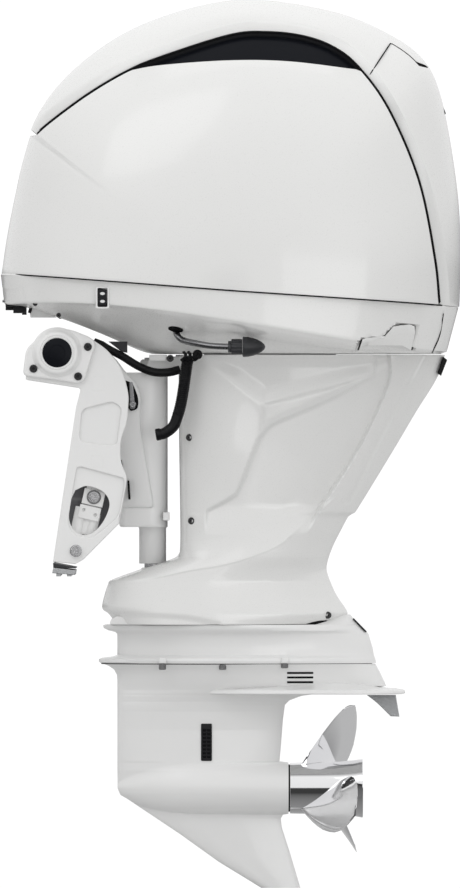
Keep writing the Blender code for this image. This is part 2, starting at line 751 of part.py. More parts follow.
def make_driveline():
    """Crankshaft, flywheel, drive shaft, pinion and pump impeller, which turn as one."""
    steel = material("shaft_steel", STEEL, 0.3, 1.0)
    joint_empty("crank_axis", (SHAFT_X, 0, 0))
    throws = [(0.0, 0.700), (0.024, 0.700), (0.024, 0.630), (0.038, 0.620), (0.038, 0.560), (0.024, 0.550),
              (0.024, 0.470), (0.038, 0.460), (0.038, 0.300), (0.024, 0.290), (0.024, 0.200), (0.016, 0.150),
              (0.016, 0.100), (0.0, 0.100)]
    hang(turned("crankshaft", throws, steel, (SHAFT_X, 0, 0), steps=16), "crank_axis")
    wheel = [(0.0, 0.716), (0.140, 0.716), (0.150, 0.706), (0.150, 0.690), (0.030, 0.690), (0.030, 0.7005),
             (0.0, 0.7005)]
    hang(turned("flywheel", wheel, material("flywheel_iron", IRON, 0.4, 0.8), (SHAFT_X, 0, 0), steps=24),
         "crank_axis")
    pinion_low, pinion_high = PROP_Z + 0.028, PROP_Z + 0.0415
    hang(rod("drive_shaft", (SHAFT_X, 0, pinion_high + REST_GAP), (SHAFT_X, 0, 0.100 - REST_GAP),
             DRIVE_SHAFT_RADIUS, steel), "crank_axis")
    share = PINION_TEETH_SHARE
    hang(rod("pinion_gear", (SHAFT_X, 0, pinion_low), (SHAFT_X, 0, pinion_high), 0.028 * share - RUNNING_GAP,
             material("gear_steel", STEEL, 0.35, 1.0), end_radius=0.0415 * share - RUNNING_GAP, sides=12),
         "crank_axis")
    impeller = ring("pump_impeller", (SHAFT_X, 0, -0.586), (SHAFT_X, 0, -0.568), 0.018,
                    DRIVE_SHAFT_RADIUS + REST_GAP, material("impeller_rubber", BLACK, 0.7), sides=16)
    for i in range(6):
        turn = 2 * math.pi * i / 6
        vane = box("impeller_vane_" + str(i), (0.016, -0.0015, -0.586), (0.027, 0.0015, -0.568), None)
        vane.matrix_world = (Matrix.Translation((SHAFT_X, 0, 0)) @ Matrix.Rotation(turn, 4, "Z")
                             @ vane.matrix_basis)
        join(impeller, vane)
    hang(impeller, "crank_axis")
    housing = [(0.042, -0.560), (0.042, -0.588), (0.030, -0.588), (0.030, -0.566), (0.015, -0.566),
               (0.015, -0.560)]
    hang(turned("water_pump_housing", housing, material("pump_plastic", BLACK, 0.5), (SHAFT_X, 0, 0),
                closed=True),
         "steering_axis")


def bevel_gear(name, side, mat):
    """A side gear of the lower unit: +1 is aft of the pinion and -1 is forward."""
    near, far = 0.028, GEAR_RADIUS
    share = PINION_TEETH_SHARE
    profile = ((near - RUNNING_GAP, 0.0), (far - RUNNING_GAP, -(far - near) * share), (far - 0.004, -0.018),
               (PROP_SHAFT_RADIUS + RUNNING_GAP, -0.018), (PROP_SHAFT_RADIUS + RUNNING_GAP, 0.0))
    return turned(name, profile, mat, (SHAFT_X + side * (near * share + RUNNING_GAP), 0, PROP_Z),
                  (-side, 0, 0),
                  closed=True)


BLADE_ROOT = 0.05
BLADE_PITCH = 0.43
BLADE_PHASE = -13
BLADE_CHORDS = ((0.0, 0.108), (0.15, 0.122), (0.4, 0.134), (0.6, 0.128), (0.8, 0.098), (0.92, 0.064),
                (0.98, 0.034),
                (1.0, 0.010))


def blade_section(radius):
    """Chord ends of a blade at a radius: an aerofoil-like strip that twists and rakes aft with radius."""
    share = (radius - BLADE_ROOT) / (PROP_RADIUS - BLADE_ROOT)
    chord = float(np.interp(share, *zip(*BLADE_CHORDS)))
    pitch = math.atan2(BLADE_PITCH, 2 * math.pi * radius)
    rake = 0.006 + 0.074 * share
    thick = 0.0065 * (1 - 0.55 * share)
    points = []
    for i, side in [(i, 1) for i in range(6)] + [(i, -1) for i in range(4, 0, -1)]:
        u = i / 5
        along = (u - 0.5) * chord
        bulge = side * thick * math.sin(math.pi * u) ** 0.7 if 0 < i < 5 else 0.0
        ahead = along * math.sin(pitch) + bulge * math.cos(pitch)
        swing = (along * math.cos(pitch) - bulge * math.sin(pitch)) / radius
        points.append(Vector((ahead + rake, radius * math.sin(swing), radius * math.cos(swing))))
    return points


def make_propeller():
    """Three-bladed propeller with its shaft, thrust hub, nut and the two side gears."""
    polished = material("polished_steel", (0.80, 0.80, 0.81), 0.08, 1.0)
    gear_steel = material("gear_steel", STEEL, 0.35, 1.0)
    joint_empty("propeller_axis", (SHAFT_X, 0, PROP_Z))
    hub = [(0.056, 0.0), (HUB_RADIUS, -0.020), (0.059, -0.100), (0.0645, -0.160), (0.057, -0.160),
           (0.050, -0.100),
           (0.022, -0.080), (0.022, -0.020), (PROP_SHAFT_RADIUS + REST_GAP, -0.020),
           (PROP_SHAFT_RADIUS + REST_GAP, -0.001), (0.022, 0.0)]
    prop = turned("propeller", hub, polished, (0.5190, 0, PROP_Z), (-1, 0, 0), closed=True, steps=24)
    for i in range(3):
        radii = (0.050, 0.085, 0.125, 0.158, 0.177, 0.1845)
        blade = loft("propeller_blade_" + str(i), [blade_section(r) for r in radii], None)
        blade.location = (0.578, 0, PROP_Z)
        blade.rotation_euler = (math.radians(BLADE_PHASE + 120 * i), 0, 0)
        join(prop, blade)
    hang(prop, "propeller_axis")
    hang(rod("propeller_shaft", (0.322, 0, PROP_Z), (0.640, 0, PROP_Z), PROP_SHAFT_RADIUS,
             material("shaft_steel", STEEL, 0.3, 1.0)), "propeller_axis")
    nut_sides = 6
    nut_bore = (PROP_SHAFT_RADIUS + REST_GAP) / math.cos(math.pi / nut_sides)
    hang(ring("propeller_nut", (0.601, 0, PROP_Z), (0.618, 0, PROP_Z), 0.021, nut_bore,
              material("nut_steel", STEEL, 0.3, 1.0), sides=nut_sides), "propeller_axis")
    hang(bevel_gear("forward_gear", -1, gear_steel), "propeller_axis")
    joint_empty("reverse_gear_axis", (SHAFT_X, 0, PROP_Z))
    hang(bevel_gear("reverse_gear", 1, gear_steel), "reverse_gear_axis")
    joint_empty("clutch_slide", (SHAFT_X, 0, PROP_Z), "propeller_axis")
    hang(ring("dog_clutch", (SHAFT_X - 0.0155, 0, PROP_Z), (SHAFT_X + 0.0035, 0, PROP_Z), 0.021,
              PROP_SHAFT_RADIUS + RUNNING_GAP, gear_steel), "clutch_slide")
    hang(ring("bearing_carrier", (0.420, 0, PROP_Z), (0.512, 0, PROP_Z), TORPEDO_BORE - REST_GAP,
              PROP_SHAFT_RADIUS + RUNNING_GAP, material("carrier_alloy", ALLOY, 0.45)), "steering_axis")


# ---------------------------------------------------------------- transom bracket

def rest_height(x):
    """Height of the inclined plane that rests on the transom's top."""
    return -math.tan(RAKE) * x


def face_x(z):
    """The transom-side face of the clamp brackets at a height."""
    return 0.0564 + math.tan(RAKE) * (z + 0.0084)


def arc(centre, radius, start, end, count):
    """Points (x, z) of an arc, in degrees anticlockwise from +x."""
    return [(centre[0] + radius * math.cos(math.radians(a)), centre[1] + radius * math.sin(math.radians(a)))
            for a in span(start, end, count)]


def flat(points, steps=3):
    return [(p.x, p.y) for p in smooth_line([(*p, 0.0) for p in points], steps)]


def clamp_outline():
    tilt = (TILT_AXIS.x, TILT_AXIS.z)
    rear = flat([(0.0893, 0.0946), (0.1408, 0.0462), (0.1640, -0.0200), (0.1606, -0.0858), (0.1483, -0.1300),
                 (0.1500, -0.1750), (0.1606, -0.2100)], 2)
    return (arc(tilt, 0.0555, 175, 60, 7) + rear
            + [(0.1443, -0.3060), (0.0638, -0.3870), (0.0484, -0.3950), (face_x(-0.3900), -0.3900),
               (face_x(rest_height(0.056)), rest_height(0.056)), (-0.0640,
                                                                  rest_height(-0.0640)), (-0.0660, 0.0400)])


def clamp_window():
    return flat([(0.0484, -0.2332), (0.0750, -0.2240), (0.1100, -0.2376), (0.1232, -0.2650),
                 (0.1080, -0.3040),
                 (0.0800, -0.3300), (0.0506, -0.3256), (0.0352, -0.3000), (0.0374, -0.2600)], 2)


def tie_bolt_hole(radius):
    return circle(TILT_FOOT.x, TILT_FOOT.z, radius)


def sides(side, near, far):
    """Low and high y of a piece between two distances from the middle, on one side."""
    return sorted((side * near, side * far))


def make_clamp_bracket(side, name):
    """Side bracket that bolts to the transom and carries the tilt tube."""
    low, high = sides(side, CLAMP_INNER, CLAMP_INNER + CLAMP_THICK)
    holes = (circle(TILT_AXIS.x, TILT_AXIS.z, TILT_TUBE_RADIUS + REST_GAP), clamp_window(),
             tie_bolt_hole(0.0110 + REST_GAP))
    return plate(name, clamp_outline(), low, high, paint("clamp_paint"), holes)


def make_bracket_cover(side, name):
    """Cover plate over the top of a clamp bracket, with the raised boss round the tilt tube."""
    near = CLAMP_INNER + CLAMP_THICK + REST_GAP
    low, high = sides(side, near, near + 0.012)
    tilt = (TILT_AXIS.x, TILT_AXIS.z)
    outline = (arc(tilt, 0.0540, 172, 62, 6) + [(0.0572, 0.1100), (0.0880, 0.0950), (0.0917, 0.0820),
                                                (0.0836, 0.0396), (0.0704, 0.0120), (0.0520, 0.0015),
                                                (0.0286, -0.0042), (-0.0620, 0.0120), (-0.0640, 0.0300)])
    cover = plate(name, outline, low, high, paint("cover_paint"),
                  [circle(*tilt, TILT_TUBE_RADIUS + REST_GAP)])
    start = Vector((tilt[0], side * (near + 0.006), tilt[1]))
    end = Vector((tilt[0], side * (near + 0.026), tilt[1]))
    return join(cover, ring(name + "_boss", start, end, 0.0470, TILT_TUBE_RADIUS + REST_GAP, None, sides=22))


def make_tilt_cap(side, name):
    """Plain round cap on the end of the tilt tube."""
    start = Vector((TILT_AXIS.x, side * 0.2030, TILT_AXIS.z))
    profile = [(0.0, 0.0085), (0.026, 0.0080), (0.033, 0.0050), (0.0355, 0.0), (0.0, 0.0)]
    return turned(name, profile, material("cap_paint", (0.10, 0.10, 0.11), 0.3), start, (0, side, 0),
                  steps=20)


def make_bracket_frame():
    """Tilt tube, steering actuator housing and lower tie bolt, which join the two clamp brackets."""
    tilt = (TILT_AXIS.x, TILT_AXIS.z)
    half = 0.2025
    steel = material("shaft_steel", STEEL, 0.3, 1.0)
    ring("tilt_tube", (tilt[0], -half, tilt[1]), (tilt[0], half, tilt[1]), TILT_TUBE_RADIUS, 0.014, steel)
    outline = arc(tilt, 0.0500, 175, 0, 10) + [(0.0520, 0.0300), (0.0460, rest_height(0.0460)),
                                               (-0.0580, rest_height(-0.0580)), (-0.0600, 0.0400)]
    plate("steering_actuator_housing", outline, -0.0950, 0.0950, paint("actuator_paint"),
          [circle(*tilt, TILT_TUBE_RADIUS + REST_GAP)])
    rod("lower_tie_bolt", (TILT_FOOT.x, -0.188, TILT_FOOT.z), (TILT_FOOT.x, 0.188, TILT_FOOT.z), 0.0110,
        steel)
    box("transom_anode", (0.0020, -0.165, -0.4180), (0.0460, 0.165, -0.3965),
        material("zinc", ZINC, 0.6, 0.5),
        bevel=0.003)


def make_trim_cylinder(side, word):
    """Trim cylinder and ram, bolted inside a clamp bracket. The ram pushes the swivel over small angles."""
    y = side * 0.112
    foot, mouth, tip = Vector((0.066, y, -0.330)), Vector((0.104, y, -0.195)), Vector((0.118, y, -0.145))
    barrel = rod("trim_cylinder_" + word, foot, mouth, 0.026, paint("trim_cylinder_paint"), sides=20)
    cut(barrel, rod("trim_bore_" + word, foot.lerp(mouth, 0.3), mouth.lerp(tip, 0.5), 0.0125, None))
    rod("trim_ram_" + word, foot.lerp(mouth, 0.32), tip, 0.0120, material("shaft_steel", STEEL, 0.3, 1.0))


def make_swivel_bracket():
    """Bracket that tilts on the tilt tube and holds the steering shaft."""
    tilt = (TILT_AXIS.x, TILT_AXIS.z)
    body = loft("swivel_bracket", [
        [(x, y, z) for x, y in rounded_box(front, 0.2520, half, 0.016, min(0.044, half - 0.004))]
        for z, front, half in ((0.0250, 0.1500, 0.080), (-0.0700, 0.1500, 0.080), (-0.1300, 0.1620, 0.066),
                               (-0.2600, 0.1720, 0.052), (-0.3146, 0.1750, 0.046))], paint("swivel_paint"))
    join(body, box("swivel_web", (0.1300, -0.1240, -0.0780), (0.2250, 0.1240, 0.0110), None))
    for side in (-1, 1):
        low, high = sides(side, 0.1020, 0.1240)
        arm = arc(tilt, 0.0360, 200, 40, 8) + [(0.1000, 0.0560), (0.1700, 0.0180), (0.1800, -0.0700),
                                               (0.1330, -0.0860), (0.0300, 0.0250)]
        join(body, plate("swivel_arm_" + str(side), arm, low, high, None))
        low, high = sides(side, 0.0220, 0.0340)
        lug = [(0.0860, -0.0380), (0.0820, -0.0100), (0.0900, 0.0080), (0.1400, 0.0080), (0.1400, -0.0500)]
        join(body, plate("tilt_rod_lug_" + str(side), lug, low, high, None))
    join(body, rod("swivel_tube", (STEER_X, 0, -0.3950), (STEER_X, 0, -0.2000), 0.0297, None, sides=24))
    cut(body, rod("steering_bore", (STEER_X, 0, -0.5), (STEER_X, 0, 0.1),
                  STEER_SHAFT_RADIUS + RUNNING_GAP, None,
                  sides=24))
    cut(body, rod("tilt_bore", (tilt[0], -0.2, tilt[1]), (tilt[0], 0.2, tilt[1]),
                  TILT_TUBE_RADIUS + RUNNING_GAP,
                  None, sides=24))
    return hang(body, "tilt_axis")


def rounded_box(front, rear, half, front_corner, rear_corner):
    """Plan (x, y) of a box with round corners."""
    points = []
    for x, side, corner, start in ((rear - rear_corner, 1, rear_corner, 0),
                                   (front + front_corner, 1, front_corner, 90),
                                   (front + front_corner, -1, front_corner, 180),
                                   (rear - rear_corner, -1, rear_corner, 270)):
        points += arc((x, side * (half - corner)), corner, start, start + 90, 3)
    return points


def make_tilt_lock():
    """Lever that props the motor in the raised position."""
    pivot = Vector((0.172, -0.1300, -0.0060))
    joint_empty("tilt_lock_pivot", pivot, "tilt_axis")
    outline = arc((pivot.x, pivot.z), 0.010, 0, 180, 6) + [(0.1600, -0.0450), (0.1660, -0.0560),
                                                           (0.1780, -0.0560),
                                                          (0.1840, -0.0450)]
    lever = plate("tilt_lock_lever", outline, pivot.y - 0.0070, pivot.y + 0.0010,
                  material("lever_plastic", (0.30, 0.30, 0.31), 0.4))
    return hang(lever, "tilt_lock_pivot")


def make_tilt_cylinder():
    """Tilt cylinder on the tie bolt, and its rod. The rod's upper pivot is left open."""
    along = (TILT_HEAD - TILT_FOOT).normalized()
    joint_empty("tilt_foot_axis", TILT_FOOT, "")
    eye = ring("tilt_cylinder", TILT_FOOT + Vector((0, -0.026, 0)), TILT_FOOT + Vector((0, 0.026, 0)), 0.0210,
               0.0110 + RUNNING_GAP, paint("tilt_cylinder_paint"))
    mouth = TILT_FOOT + along * 0.250
    join(eye, rod("tilt_barrel", TILT_FOOT + along * 0.016, mouth, 0.0240, None))
    cut(eye, rod("tilt_barrel_bore", TILT_FOOT + along * 0.030, mouth + along * 0.02,
                 0.0100 + RUNNING_GAP, None))
    hang(eye, "tilt_foot_axis")
    joint_empty("tilt_rod_slide", TILT_HEAD, "tilt_foot_axis")
    head = rod("tilt_rod", TILT_FOOT + along * 0.040, TILT_HEAD, 0.0100,
               material("shaft_steel", STEEL, 0.3, 1.0))
    join(head, rod("tilt_rod_head", TILT_HEAD + Vector((0, -0.015, 0)),
                   TILT_HEAD + Vector((0, 0.015, 0)), 0.0140,
                   None))
    hang(head, "tilt_rod_slide")


# ---------------------------------------------------------------- pipes and cables

def make_flush_device():
    """Freshwater flushing pipe that leaves the pan's underside, and the screw connector on its end."""
    clear_y = -0.026 - max(pan_half_width(x, 0.1000) for x in (0.385, 0.420, 0.455))
    route = ((0.2684, 0.1120, 0.0), (0.2740, 0.1020, 0.25), (0.2850, 0.0950, 0.45), (0.3146, 0.0885, 0.75),
             (0.3464, 0.0820, 0.95), (0.3820, 0.0805, 1.0))
    root_y = -pan_half_width(route[0][0], route[0][1]) - 0.010
    path = smooth_line([(x, root_y + (clear_y - root_y) * share, z) for x, z, share in route], 3)
    hang(tube("flush_pipe", path, 0.0058, material("pipe_metal", (0.35, 0.35, 0.36), 0.3, 1.0)),
         "steering_axis")
    start = path[-1] + Vector((0.0010, 0.0, 0.0))
    joint_empty("flush_connector_axis", start)
    profile = [(0.0, -0.0005), (0.0125, -0.0005), (0.0165, -0.003), (0.0165, -0.024), (0.0225, -0.026),
               (0.0215, -0.038),
               (0.0175, -0.055), (0.0100, -0.070), (0.0, -0.078)]
    hang(turned("flush_connector", profile, material("connector_plastic", (0.035, 0.035, 0.038), 0.4), start,
                (-1, 0, 0)), "flush_connector_axis")


def make_drain_hose():
    """Ribbed drain hose that hangs in front of the apron."""
    y = -0.1430
    path = smooth_line([(0.2992, y, 0.0620), (0.2926, y, 0.0480), (0.2860, y, -0.0066), (0.2728, y, -0.0680),
                        (0.2618, y, -0.0980), (0.2420, y, -0.1090), (0.2222, y, -0.1078)], 3)
    hang(tube("drain_hose", path, 0.0125, material("hose_rubber", BLACK, 0.6)), "steering_axis")


def make_wiring_harness():
    """Sleeved bundle of cables between the motor and the boat."""
    y = -0.1040
    path = smooth_line([(0.1300, y, 0.0700), (0.1507, y, 0.0605), (0.1848, y, 0.0396), (0.2178, y, 0.0264),
                        (0.2508, y + 0.004, 0.0251), (0.2750, y + 0.010, 0.0320)], 2)
    hang(tube("wiring_harness", path, 0.0090, material("sleeve_plastic", BLACK, 0.6)), "steering_axis")


# ---------------------------------------------------------------- assembly

def build():
    joint_empty("tilt_axis", TILT_AXIS, "")
    joint_empty("steering_axis", (STEER_X, 0, 0), "tilt_axis")
    joint_empty("cowl_lift", (COWL_CENTRE[0], 0, COWL_CENTRE[1]))
    make_side_shell()
    make_crown()
    make_rear_cap()
    make_intake_duct()
    make_bottom_cowl()
    make_cowl_seal()
    for side, word in ((-1, "port"), (1, "starboard")):
        make_latch(side, "cowl_latch_" + word)
        make_apron(side, "apron_" + word)
        make_inlet_grille(side, "inlet_grille_" + word)
        make_clamp_bracket(side, "clamp_bracket_" + word)
        make_bracket_cover(side, "bracket_cover_" + word)
        make_tilt_cap(side, "tilt_cap_" + word)
        make_trim_cylinder(side, word)
    make_trim_switch()
    make_drive_housing()
    make_upper_casing()
    make_gearcase()
    make_trim_tab()
    make_steering_parts()
    make_engine()
    make_driveline()
    make_propeller()
    make_bracket_frame()
    make_swivel_bracket()
    make_tilt_lock()
    make_tilt_cylinder()
    make_flush_device()
    make_drain_hose()
    make_wiring_harness()


clear_scene()
PARTS = new_collection("outboard_motor")
CUTTERS = new_collection("cutters")
EMPTIES = {}
SIDE_TABLE = polar_table(COWL_SIDE)
CROWN_TABLE = polar_table(CROWN_LINE)
SILL_TABLE = polar_table(WINDOW_SILL)
WINDOW_END = SILL_TABLE[0][0]
WINDOW_START = SILL_TABLE[-1][0]
build()
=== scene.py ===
"""Outboard motor seen from its port side: detailed shells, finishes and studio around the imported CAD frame.

Metres in the row frame: +X aft, +Y to starboard, +Z up. Port is -Y.
"""

import json
import math

import bmesh
import bpy
import numpy as np
from mathutils import Matrix, Vector


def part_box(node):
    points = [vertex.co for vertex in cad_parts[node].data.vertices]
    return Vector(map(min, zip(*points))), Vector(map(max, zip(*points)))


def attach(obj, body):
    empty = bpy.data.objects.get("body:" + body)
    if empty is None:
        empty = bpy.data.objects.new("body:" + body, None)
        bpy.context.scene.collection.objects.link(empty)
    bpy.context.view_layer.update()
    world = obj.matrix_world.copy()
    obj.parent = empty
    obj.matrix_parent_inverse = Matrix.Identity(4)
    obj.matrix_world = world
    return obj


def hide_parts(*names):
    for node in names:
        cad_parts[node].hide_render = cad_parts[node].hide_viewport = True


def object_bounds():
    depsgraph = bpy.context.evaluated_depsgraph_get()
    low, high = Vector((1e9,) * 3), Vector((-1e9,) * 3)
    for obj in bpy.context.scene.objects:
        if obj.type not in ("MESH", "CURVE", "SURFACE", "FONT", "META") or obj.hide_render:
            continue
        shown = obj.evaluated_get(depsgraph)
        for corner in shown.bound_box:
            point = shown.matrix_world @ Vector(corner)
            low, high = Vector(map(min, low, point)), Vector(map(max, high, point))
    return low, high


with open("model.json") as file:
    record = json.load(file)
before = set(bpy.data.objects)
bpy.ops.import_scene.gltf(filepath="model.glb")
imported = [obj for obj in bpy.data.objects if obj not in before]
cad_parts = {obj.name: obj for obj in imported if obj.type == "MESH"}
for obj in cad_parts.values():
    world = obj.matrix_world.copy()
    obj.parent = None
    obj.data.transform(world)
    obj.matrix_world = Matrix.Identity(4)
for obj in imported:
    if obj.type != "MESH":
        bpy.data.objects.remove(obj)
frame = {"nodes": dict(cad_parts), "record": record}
CAD_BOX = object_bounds()

# Cowling, in the side view. Sides of CAD boxes are read to a tenth of a millimetre
COWL_HALF_WIDTH = round(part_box("cowl_side_shell")[1].y, 4)
COWL_CENTRE = (0.3872, 0.2050)
SIDE_FULLNESS = 3.5
SEAM_FRONT = (-0.1155, 0.2420)
SEAM_REAR = (0.8888, 0.1694)
SEAM_GAP = 0.002
PANEL_GAP = 0.0032
CROWN_PROUD = 0.003
CHAMFER_WIDTH = 0.017
CHAMFER_DEPTH = 0.0060
CHAMFER_TILT = 0.0045
RIDGE_PROUD = 0.0065
REAR_CAP_ANGLE = math.radians(57.0)
REAR_CAP_TOP_ANGLE = math.radians(48.5)
REAR_CAP_SHARE = 0.972
TIP_ANGLE = math.radians(141.0)
COWL_SIDE = (
    SEAM_FRONT, (-0.1034, 0.3234), (-0.0858, 0.4136), (-0.0671, 0.4950), (-0.0374, 0.5830),
    (0.0198, 0.6644), (0.1078, 0.7392), (0.2046, 0.7920), (0.3322, 0.8316), (0.4510, 0.8426),
    (0.6138, 0.8162), (0.7260, 0.7722), (0.8074, 0.7150), (0.8492, 0.6292), (0.8822, 0.4444),
    (0.8921, 0.2948), SEAM_REAR,
)
CROWN_LINE = (
    (-0.0590, 0.5240), (-0.0220, 0.5632), (0.0748, 0.6336), (0.1628, 0.6850), (0.2354, 0.7150),
    (0.3872, 0.7634), (0.4686, 0.7700), (0.5478, 0.7612), (0.6138, 0.7370), (0.6688, 0.6930),
    (0.7348, 0.5995), (0.8008, 0.4444), (0.8360, 0.2750), (0.8470, 0.1720),
)
WINDOW_SILL = ((0.1628, 0.6842), (0.2354, 0.6963), (0.3872, 0.7062), (0.5170, 0.7040), (0.6622, 0.6873),
               (0.6720, 0.6900),)

# Axes of the frame
JOINTS = {joint["name"]: joint["pos_m"] for joint in frame["record"]["behaviour"]["joints"]}
TILT_AXIS = Vector(JOINTS["tilt"])
TILT_FOOT = Vector(JOINTS["tilt_cylinder_swing"])
STEER_X = JOINTS["steering"][0]
PROP_Z = JOINTS["propeller_spin"][2]
PORT, STARBOARD = -1, 1
SIDES = ((PORT, "port"), (STARBOARD, "starboard"))


# ---------------------------------------------------------------- finishes

def finish(name, colour, rough, metal=0.0, coat=0.0, bump=0.02, grain=220.0, vary=0.02, stretch=(1, 1, 1),
           edge_wear_and_highlight=0.0, edge_wear_and_highlight_colour=(0.9, 0.9, 0.9), anisotropic=0.0, specular=0.5):
    """Procedural finish: broad colour drift, fine grain in roughness and bump, and lighter convex edges: worn
    edges on the dark parts, a painted edge highlight on the white paints.
    """
    mat = bpy.data.materials.new(name)
    mat.use_nodes = True
    nodes, links = mat.node_tree.nodes, mat.node_tree.links
    shader = nodes["Principled BSDF"]
    shader.inputs["Metallic"].default_value = metal
    shader.inputs["Coat Weight"].default_value = coat
    shader.inputs["Coat Roughness"].default_value = 0.06
    shader.inputs["Anisotropic"].default_value = anisotropic
    shader.inputs["Specular IOR Level"].default_value = specular
    where = nodes.new("ShaderNodeTexCoord")
    place = nodes.new("ShaderNodeMapping")
    place.inputs["Scale"].default_value = stretch
    links.new(where.outputs["Object"], place.inputs["Vector"])
    broad = noise(nodes, links, place, 6.0, 3.0)
    fine = noise(nodes, links, place, grain, 4.0)
    tint = nodes.new("ShaderNodeMix")
    tint.data_type = "RGBA"
    tint.inputs["A"].default_value = (*(c * (1 - vary) for c in colour), 1)
    tint.inputs["B"].default_value = (*(min(1.0, c * (1 + vary)) for c in colour), 1)
    links.new(broad.outputs["Fac"], tint.inputs["Factor"])
    colour_out = tint.outputs["Result"]
    # Lighter convex edges: real wear on the dark plastics, zinc, iron and screws; on the white paints it is a
    # painted edge highlight.
    if edge_wear_and_highlight > 0:
        edges = nodes.new("ShaderNodeNewGeometry")
        ramp = span_map(nodes, links, edges.outputs["Pointiness"], 0.52, 0.60, 0.0, edge_wear_and_highlight)
        worn_or_highlit = nodes.new("ShaderNodeMix")
        worn_or_highlit.data_type = "RGBA"
        links.new(ramp.outputs["Result"], worn_or_highlit.inputs["Factor"])
        links.new(colour_out, worn_or_highlit.inputs["A"])
        worn_or_highlit.inputs["B"].default_value = (*edge_wear_and_highlight_colour, 1)
        colour_out = worn_or_highlit.outputs["Result"]
    links.new(colour_out, shader.inputs["Base Color"])
    dull = span_map(nodes, links, fine.outputs["Fac"], 0.3, 0.7, rough * 0.85, rough * 1.15)
    links.new(dull.outputs["Result"], shader.inputs["Roughness"])
    relief = nodes.new("ShaderNodeBump")
    relief.inputs["Strength"].default_value = bump
    relief.inputs["Distance"].default_value = 0.001
    links.new(fine.outputs["Fac"], relief.inputs["Height"])
    links.new(relief.outputs["Normal"], shader.inputs["Normal"])
    return mat


def noise(nodes, links, place, scale, detail):
    made = nodes.new("ShaderNodeTexNoise")
    made.inputs["Scale"].default_value = scale
    made.inputs["Detail"].default_value = detail
    links.new(place.outputs["Vector"], made.inputs["Vector"])
    return made


def span_map(nodes, links, source, low, high, to_low, to_high):
    made = nodes.new("ShaderNodeMapRange")
    made.inputs["From Min"].default_value = low
    made.inputs["From Max"].default_value = high
    made.inputs["To Min"].default_value = to_low
    made.inputs["To Max"].default_value = to_high
    links.new(source, made.inputs["Value"])
    return made


WHITE = (0.80, 0.80, 0.79)
LOOKS = {
    "paint": finish("white_gloss_paint", WHITE, 0.30, coat=0.55, bump=0.012, grain=420, vary=0.008,
                    edge_wear_and_highlight=0.05),
    "casting_paint": finish("white_casting_paint", (0.83, 0.83, 0.825), 0.42, coat=0.25, bump=0.05,
                            grain=300, vary=0.015, edge_wear_and_highlight=0.08),
    "gearcase_paint": finish("white_gearcase_paint", (0.81, 0.81, 0.805), 0.36, coat=0.35, bump=0.03,
                             grain=300, vary=0.02, edge_wear_and_highlight=0.08),
    "black_gloss": finish("black_gloss_plastic", (0.006, 0.007, 0.010), 0.34, coat=0.0, bump=0.01,
                          vary=0.1, specular=0.10),
    "black": finish("black_moulded_plastic", (0.009, 0.009, 0.011), 0.42, bump=0.08, grain=500, vary=0.15,
                    specular=0.25, edge_wear_and_highlight=0.3, edge_wear_and_highlight_colour=(0.05, 0.05, 0.052)),
    "grey_plastic": finish("dark_grey_plastic", (0.030, 0.031, 0.034), 0.38, bump=0.05, grain=500,
                           vary=0.12, specular=0.35, edge_wear_and_highlight=0.3, edge_wear_and_highlight_colour=(0.12, 0.12, 0.13)),
    "rubber": finish("black_rubber", (0.006, 0.006, 0.007), 0.45, bump=0.15, grain=260, vary=0.2,
                     specular=0.22),
    # recess: flat black standing in for the shade inside gaps, slots, holes and seams; this is painted shade.
    "recess": finish("shadow_black", (0.006, 0.006, 0.007), 0.7, bump=0.05, vary=0.1, specular=0.1),
    "steel": finish("ground_steel", (0.62, 0.62, 0.63), 0.26, metal=1.0, bump=0.03, grain=80,
                    stretch=(1, 1, 14), vary=0.05, anisotropic=0.4),
    "pipe": finish("grey_pipe_metal", (0.30, 0.30, 0.31), 0.30, metal=1.0, bump=0.02, vary=0.08),
    "polished": finish("polished_stainless", (0.82, 0.82, 0.83), 0.07, metal=1.0, bump=0.012, grain=60,
                       vary=0.02),
    "zinc": finish("cast_zinc", (0.50, 0.51, 0.52), 0.55, metal=0.6, bump=0.25, grain=160, vary=0.1,
                   edge_wear_and_highlight=0.3, edge_wear_and_highlight_colour=(0.7, 0.7, 0.71)),
    "iron": finish("engine_casting", (0.10, 0.10, 0.105), 0.5, metal=0.4, bump=0.3, grain=180, vary=0.12,
                   edge_wear_and_highlight=0.4, edge_wear_and_highlight_colour=(0.3, 0.3, 0.3)),
    "alloy": finish("bare_alloy", (0.50, 0.51, 0.52), 0.45, metal=0.8, bump=0.2, grain=200, vary=0.06),
    "screw": finish("black_screw", (0.02, 0.02, 0.022), 0.35, metal=0.5, bump=0.05, vary=0.1, edge_wear_and_highlight=0.4,
                    edge_wear_and_highlight_colour=(0.12, 0.12, 0.12)),
    "oval": finish("white_symbol", (0.75, 0.75, 0.75), 0.5, bump=0.02, vary=0.02),
}


# ---------------------------------------------------------------- lines and fields in the side view

def smooth_line(points, steps=8):
    """Catmull-Rom line through points of any dimension, as an array."""
    pts = [np.array(p, float) for p in points]
    ends = [2 * pts[0] - pts[1], *pts, 2 * pts[-1] - pts[-2]]
    out = []
    for a, b, c, d in zip(ends, ends[1:], ends[2:], ends[3:]):
        for i in range(steps):
            t = i / steps
            out.append(0.5 * (2 * b + (c - a) * t + (2 * a - 5 * b + 4 * c - d) * t * t
                              + (3 * b - a - 3 * c + d) * t ** 3))
    return np.array(out + [pts[-1]])


def span(low, high, count):
    return np.linspace(low, high, count + 1)


def smoothstep(v):
    v = np.clip(v, 0.0, 1.0)
    return v * v * (3 - 2 * v)


